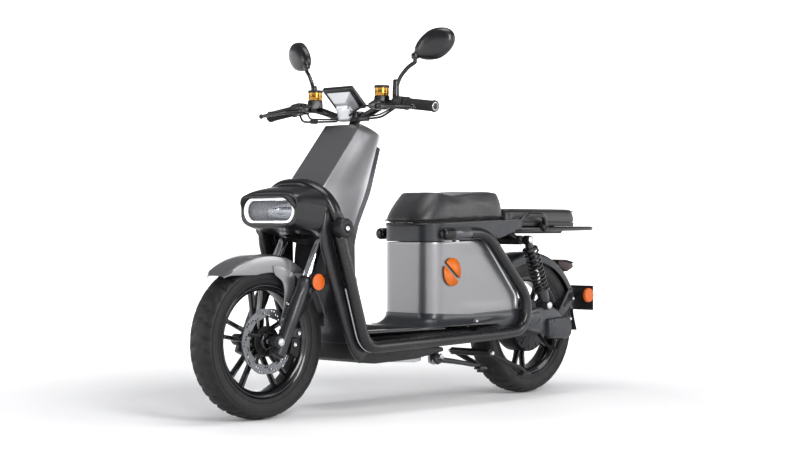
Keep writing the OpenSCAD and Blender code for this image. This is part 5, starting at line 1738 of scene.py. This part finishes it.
keep(slab("tail_lamp", lamp_side, -44, 44), "swingarm", "red_lens", ["rear_lamp"], bevel=0.004,
     smooth=40)
hood = slab("lamp_hood", [(-730, 433), (-732, 440), (-770, 440), (-808, 432), (-814, 426), (-770, 434)],
            -46, 46)
stalk = slab("lamp_stalk", [(-742, 392), (-748, 408), (-778, 398), (-790, 402), (-792, 372)], -20, 20)
keep(join("lamp_bracket", [hood, stalk]), "swingarm", "black_plastic", slot="charcoal_plastic", bevel=0.002)


# Shock absorbers

def shock_at(side, along, x=0.0, y=0.0):
    """A point given in millimetres down the shock from its upper eye."""
    top, low = at(-464, side * 130, 508), at(-559, side * 130, 294)
    down = (low - top).normalized()
    across = Vector((0, 1, 0)).cross(down)
    return top + down * (along * MM) + across * (x * MM) + Vector((0, y * MM, 0))


for s, tag in ((1, "left"), (-1, "right")):
    down = shock_at(s, 1) - shock_at(s, 0)
    length = (at(-464, 0, 508) - at(-559, 0, 294)).length / MM
    upper = [(12, 4), (12, 12), (20, 13.5), (26, 15), (28, 24), (30, 26), (35, 26), (37, 22), (39, 13),
             (96, 13), (98, 11), (98, 6.2)]
    lower = [(174, 6.4), (174, 22), (175, 26), (180, 26), (182, 20), (186, 19), (length - 20, 17.5),
             (length - 14, 12), (length - 10, 4)]
    eyes = []
    for along, r, bore in ((0, 15, 6.2), (length, 15, 5.3)):
        eyes.append(lathe("eye",
                          [(-0.011, bore * MM), (-0.011, r * MM), (0.011, r * MM), (0.011, bore * MM)],
                          shock_at(s, along), (0, 1, 0), 32, close=True))
    body = lathe("body", [(a * MM, r * MM) for a, r in upper], shock_at(s, 0), down, 36)
    keep(join(f"shock_body_{tag}", [eyes[0], body]), "shock_upper", "satin_black_plastic",
         ["shock_bodies"] if s > 0 else (), slot="spring_black", smooth=45)
    foot = lathe("foot", [(a * MM, r * MM) for a, r in lower], shock_at(s, 0), down, 36)
    keep(join(f"shock_foot_{tag}", [eyes[1], foot]), "shock_lower", M["cover_grey"],
         ["shock_rods"] if s > 0 else (), slot="slider_grey", smooth=45)
    keep(cylinder(f"shock_rod_{tag}", shock_at(s, 84), shock_at(s, 182), 0.006), "shock_lower", "chrome")
    coil = []
    steps = 9 * 28
    for k in range(steps + 1):
        a = TAU * k / 28
        t = k / steps
        wide = 24.0 - 3.2 * t
        coil.append(shock_at(s, 38 + 134 * (t ** 0.86), wide * math.cos(a), wide * math.sin(a)))
    keep(tube(f"shock_coil_{tag}", coil, 0.0036, 12), "shock_upper", "spring_black",
         ["shock_springs"] if s > 0 else ())
    cap = [(0, 9), (1, 12), (5, 12), (7, 9), (7.5, 0.4)]
    for name, along, hold in (("top", 0, "shock_upper"), ("low", length, "shock_lower")):
        keep(lathe(f"shock_{name}_cap_{tag}", [(a * MM, r * MM) for a, r in cap],
                   shock_at(s, along, 0, s * 11.2),
                   (0, s, 0), 28), hold, "steel", bevel=0)


# Stands

SIDE_PIVOT = (-40, 122, 146)
SIDE_AXIS = Vector((0.26, -1, -0.5)).normalized()
pivot = at(*SIDE_PIVOT)
leg_line = [at(-52, 122, 142), at(-120, 124, 133), at(-200, 127, 119), at(-226, 128, 115)]
side_leg = [
    lathe("knuckle", [(a * MM, r * MM) for a, r in ((-8, 7), (-8, 16), (-6, 18), (5, 18), (7, 16), (7, 7))],
          pivot,
          SIDE_AXIS, 32, close=True),
    sweep("leg", round_path(leg_line, 0.03, 5), [(0.0095 * a, 0.0075 * b) for a, b in circle(1, 20)],
          scale=lambda t: 1.15 - 0.3 * t),
    slab("foot", [(-254, 102), (-254, 107), (-246, 112), (-224, 112), (-218, 106), (-220, 102)], 115, 141)]
keep(join("side_stand_leg", side_leg), "side_stand", M["slider_grey"], ["side_stand"], slot="stand_alloy",
     bevel=0.0012, smooth=40)
keep(bolt("side_stand_bolt", pivot - SIDE_AXIS * 0.016, SIDE_AXIS * -1, 0.009, 0.005), "root", "steel")
bracket = slab("side_stand_bracket", [(-64, 168), (-16, 172), (-18, 134), (-44, 126), (-62, 140)], 104, 110)
keep(bracket, "root", "stand_alloy", bevel=0.002)
peg = slab("side_stand_plate", [(8, 154), (150, 160), (168, 154), (160, 145), (40, 138), (12, 140)], 96, 104)
keep(peg, "root", "trim_silver", slot="stand_alloy", bevel=0.003)

CENTRE_PIVOT = (-335, 146)
centre_parts = [lathe("crossbar", [(-0.083, 0.0062), (-0.083, 0.012), (0.083, 0.012), (0.083, 0.0062)],
                      at(CENTRE_PIVOT[0], 0, CENTRE_PIVOT[1]), (0, 1, 0), 32, close=True)]
for s in (1, -1):
    leg = round_path([at(-338, s * 74, 145), at(-430, s * 82, 107), at(-484, s * 88, 86),
                      at(-496, s * 88, 72)], 0.03, 6)
    centre_parts.append(tube("leg", leg, 0.009, 20))
    centre_parts.append(slab("pad", [(-520, 66), (-520, 70), (-512, 76), (-480, 76), (-476, 66)], s * 75,
                             s * 101))
keep(join("centre_stand_frame", centre_parts), "centre_stand", "frame_black", ["centre_stand"], bevel=0.001,
     smooth=40)


# Floor, light and camera

GLOW, GLOW_FROM, GLOW_TO = 0.95, 0.9, 3.2


def pale_floor():
    """One smooth sweep from the floor up to a back wall, all round behind the scooter."""
    rings = []
    steps = 96
    for r, z in ((0.0, 0.0), (4.0, 0.0), (9.0, 0.0), (9.8, 0.08), (10.5, 0.35), (11, 0.8), (11.2, 1.4),
                 (11.2, 3.4)):
        rings.append([Vector((r * math.cos(TAU * k / steps), r * math.sin(TAU * k / steps), z))
                      for k in range(steps)])
    floor = loft("studio_floor", rings[1:], cap=False)
    disc = new_object("floor_disc", rings[1], [tuple(range(steps))])
    floor = join("studio_floor", [floor, disc])
    material, nodes, links, shader = node_tree("studio_white")
    tone = noise(nodes, links, 0.6, 2)
    links.new(ramp(nodes, links, tone.outputs["Fac"], (0.86, 0.86, 0.865), (0.89, 0.89, 0.895)),
              shader.inputs["Base Color"])
    shader.inputs["Roughness"].default_value = 0.6
    # The sweep glows away from the scooter, as a lit paper roll does
    place = nodes.new("ShaderNodeTexCoord")
    apart = nodes.new("ShaderNodeVectorMath")
    apart.operation = "LENGTH"
    links.new(place.outputs["Object"], apart.inputs[0])
    reach = nodes.new("ShaderNodeMapRange")
    reach.inputs["From Min"].default_value = GLOW_FROM
    reach.inputs["From Max"].default_value = GLOW_TO
    reach.inputs["To Max"].default_value = GLOW
    links.new(apart.outputs["Value"], reach.inputs["Value"])
    shader.inputs["Emission Color"].default_value = (1, 1, 1, 1)
    links.new(reach.outputs["Result"], shader.inputs["Emission Strength"])
    floor.data.materials.append(material)
    for polygon in floor.data.polygons:
        polygon.use_smooth = True


def softbox(name, azimuth, elevation, distance, size, power, aim=(0, 0, 0.5)):
    """A large area light that faces the object."""
    azimuth, elevation = math.radians(azimuth), math.radians(elevation)
    lamp = bpy.data.lights.new(name, "AREA")
    lamp.shape = "RECTANGLE"
    lamp.size, lamp.size_y = size
    lamp.energy = power
    obj = bpy.data.objects.new(name, lamp)
    target = Vector(aim)
    obj.location = target + distance * Vector((math.cos(azimuth) * math.cos(elevation),
                                               math.sin(azimuth) * math.cos(elevation), math.sin(elevation)))
    obj.rotation_euler = (target - obj.location).to_track_quat("-Z", "Y").to_euler()
    bpy.context.scene.collection.objects.link(obj)


pale_floor()
softbox("key", 66, 26, 3.6, (0.9, 2.2), 95)
softbox("left_side", 128, 20, 4.0, (1.2, 2.0), 36)
softbox("top", 60, 84, 3.4, (2.2, 1.5), 60)
softbox("right_front", -32, 18, 4.2, (0.8, 1.8), 22)

world = bpy.data.worlds.new("studio")
world.use_nodes = True
background = world.node_tree.nodes["Background"]
background.inputs["Color"].default_value = (0.95, 0.96, 1.0, 1)
background.inputs["Strength"].default_value = 0.22
bpy.context.scene.world = world
bpy.context.scene.view_settings.view_transform = "Standard"

# A level camera ahead of the scooter and to its left
EYE = (3925, 3789, 547)
HEADING = 43.8
FOCAL_LENGTH = 78.18
lens = bpy.data.cameras.new("camera")
lens.lens = FOCAL_LENGTH
lens.sensor_width = 36
camera = bpy.data.objects.new("camera", lens)
camera.location = at(*EYE)
camera.rotation_euler = (math.radians(90), 0, math.radians(90 + HEADING))
bpy.context.scene.collection.objects.link(camera)
bpy.context.scene.camera = camera
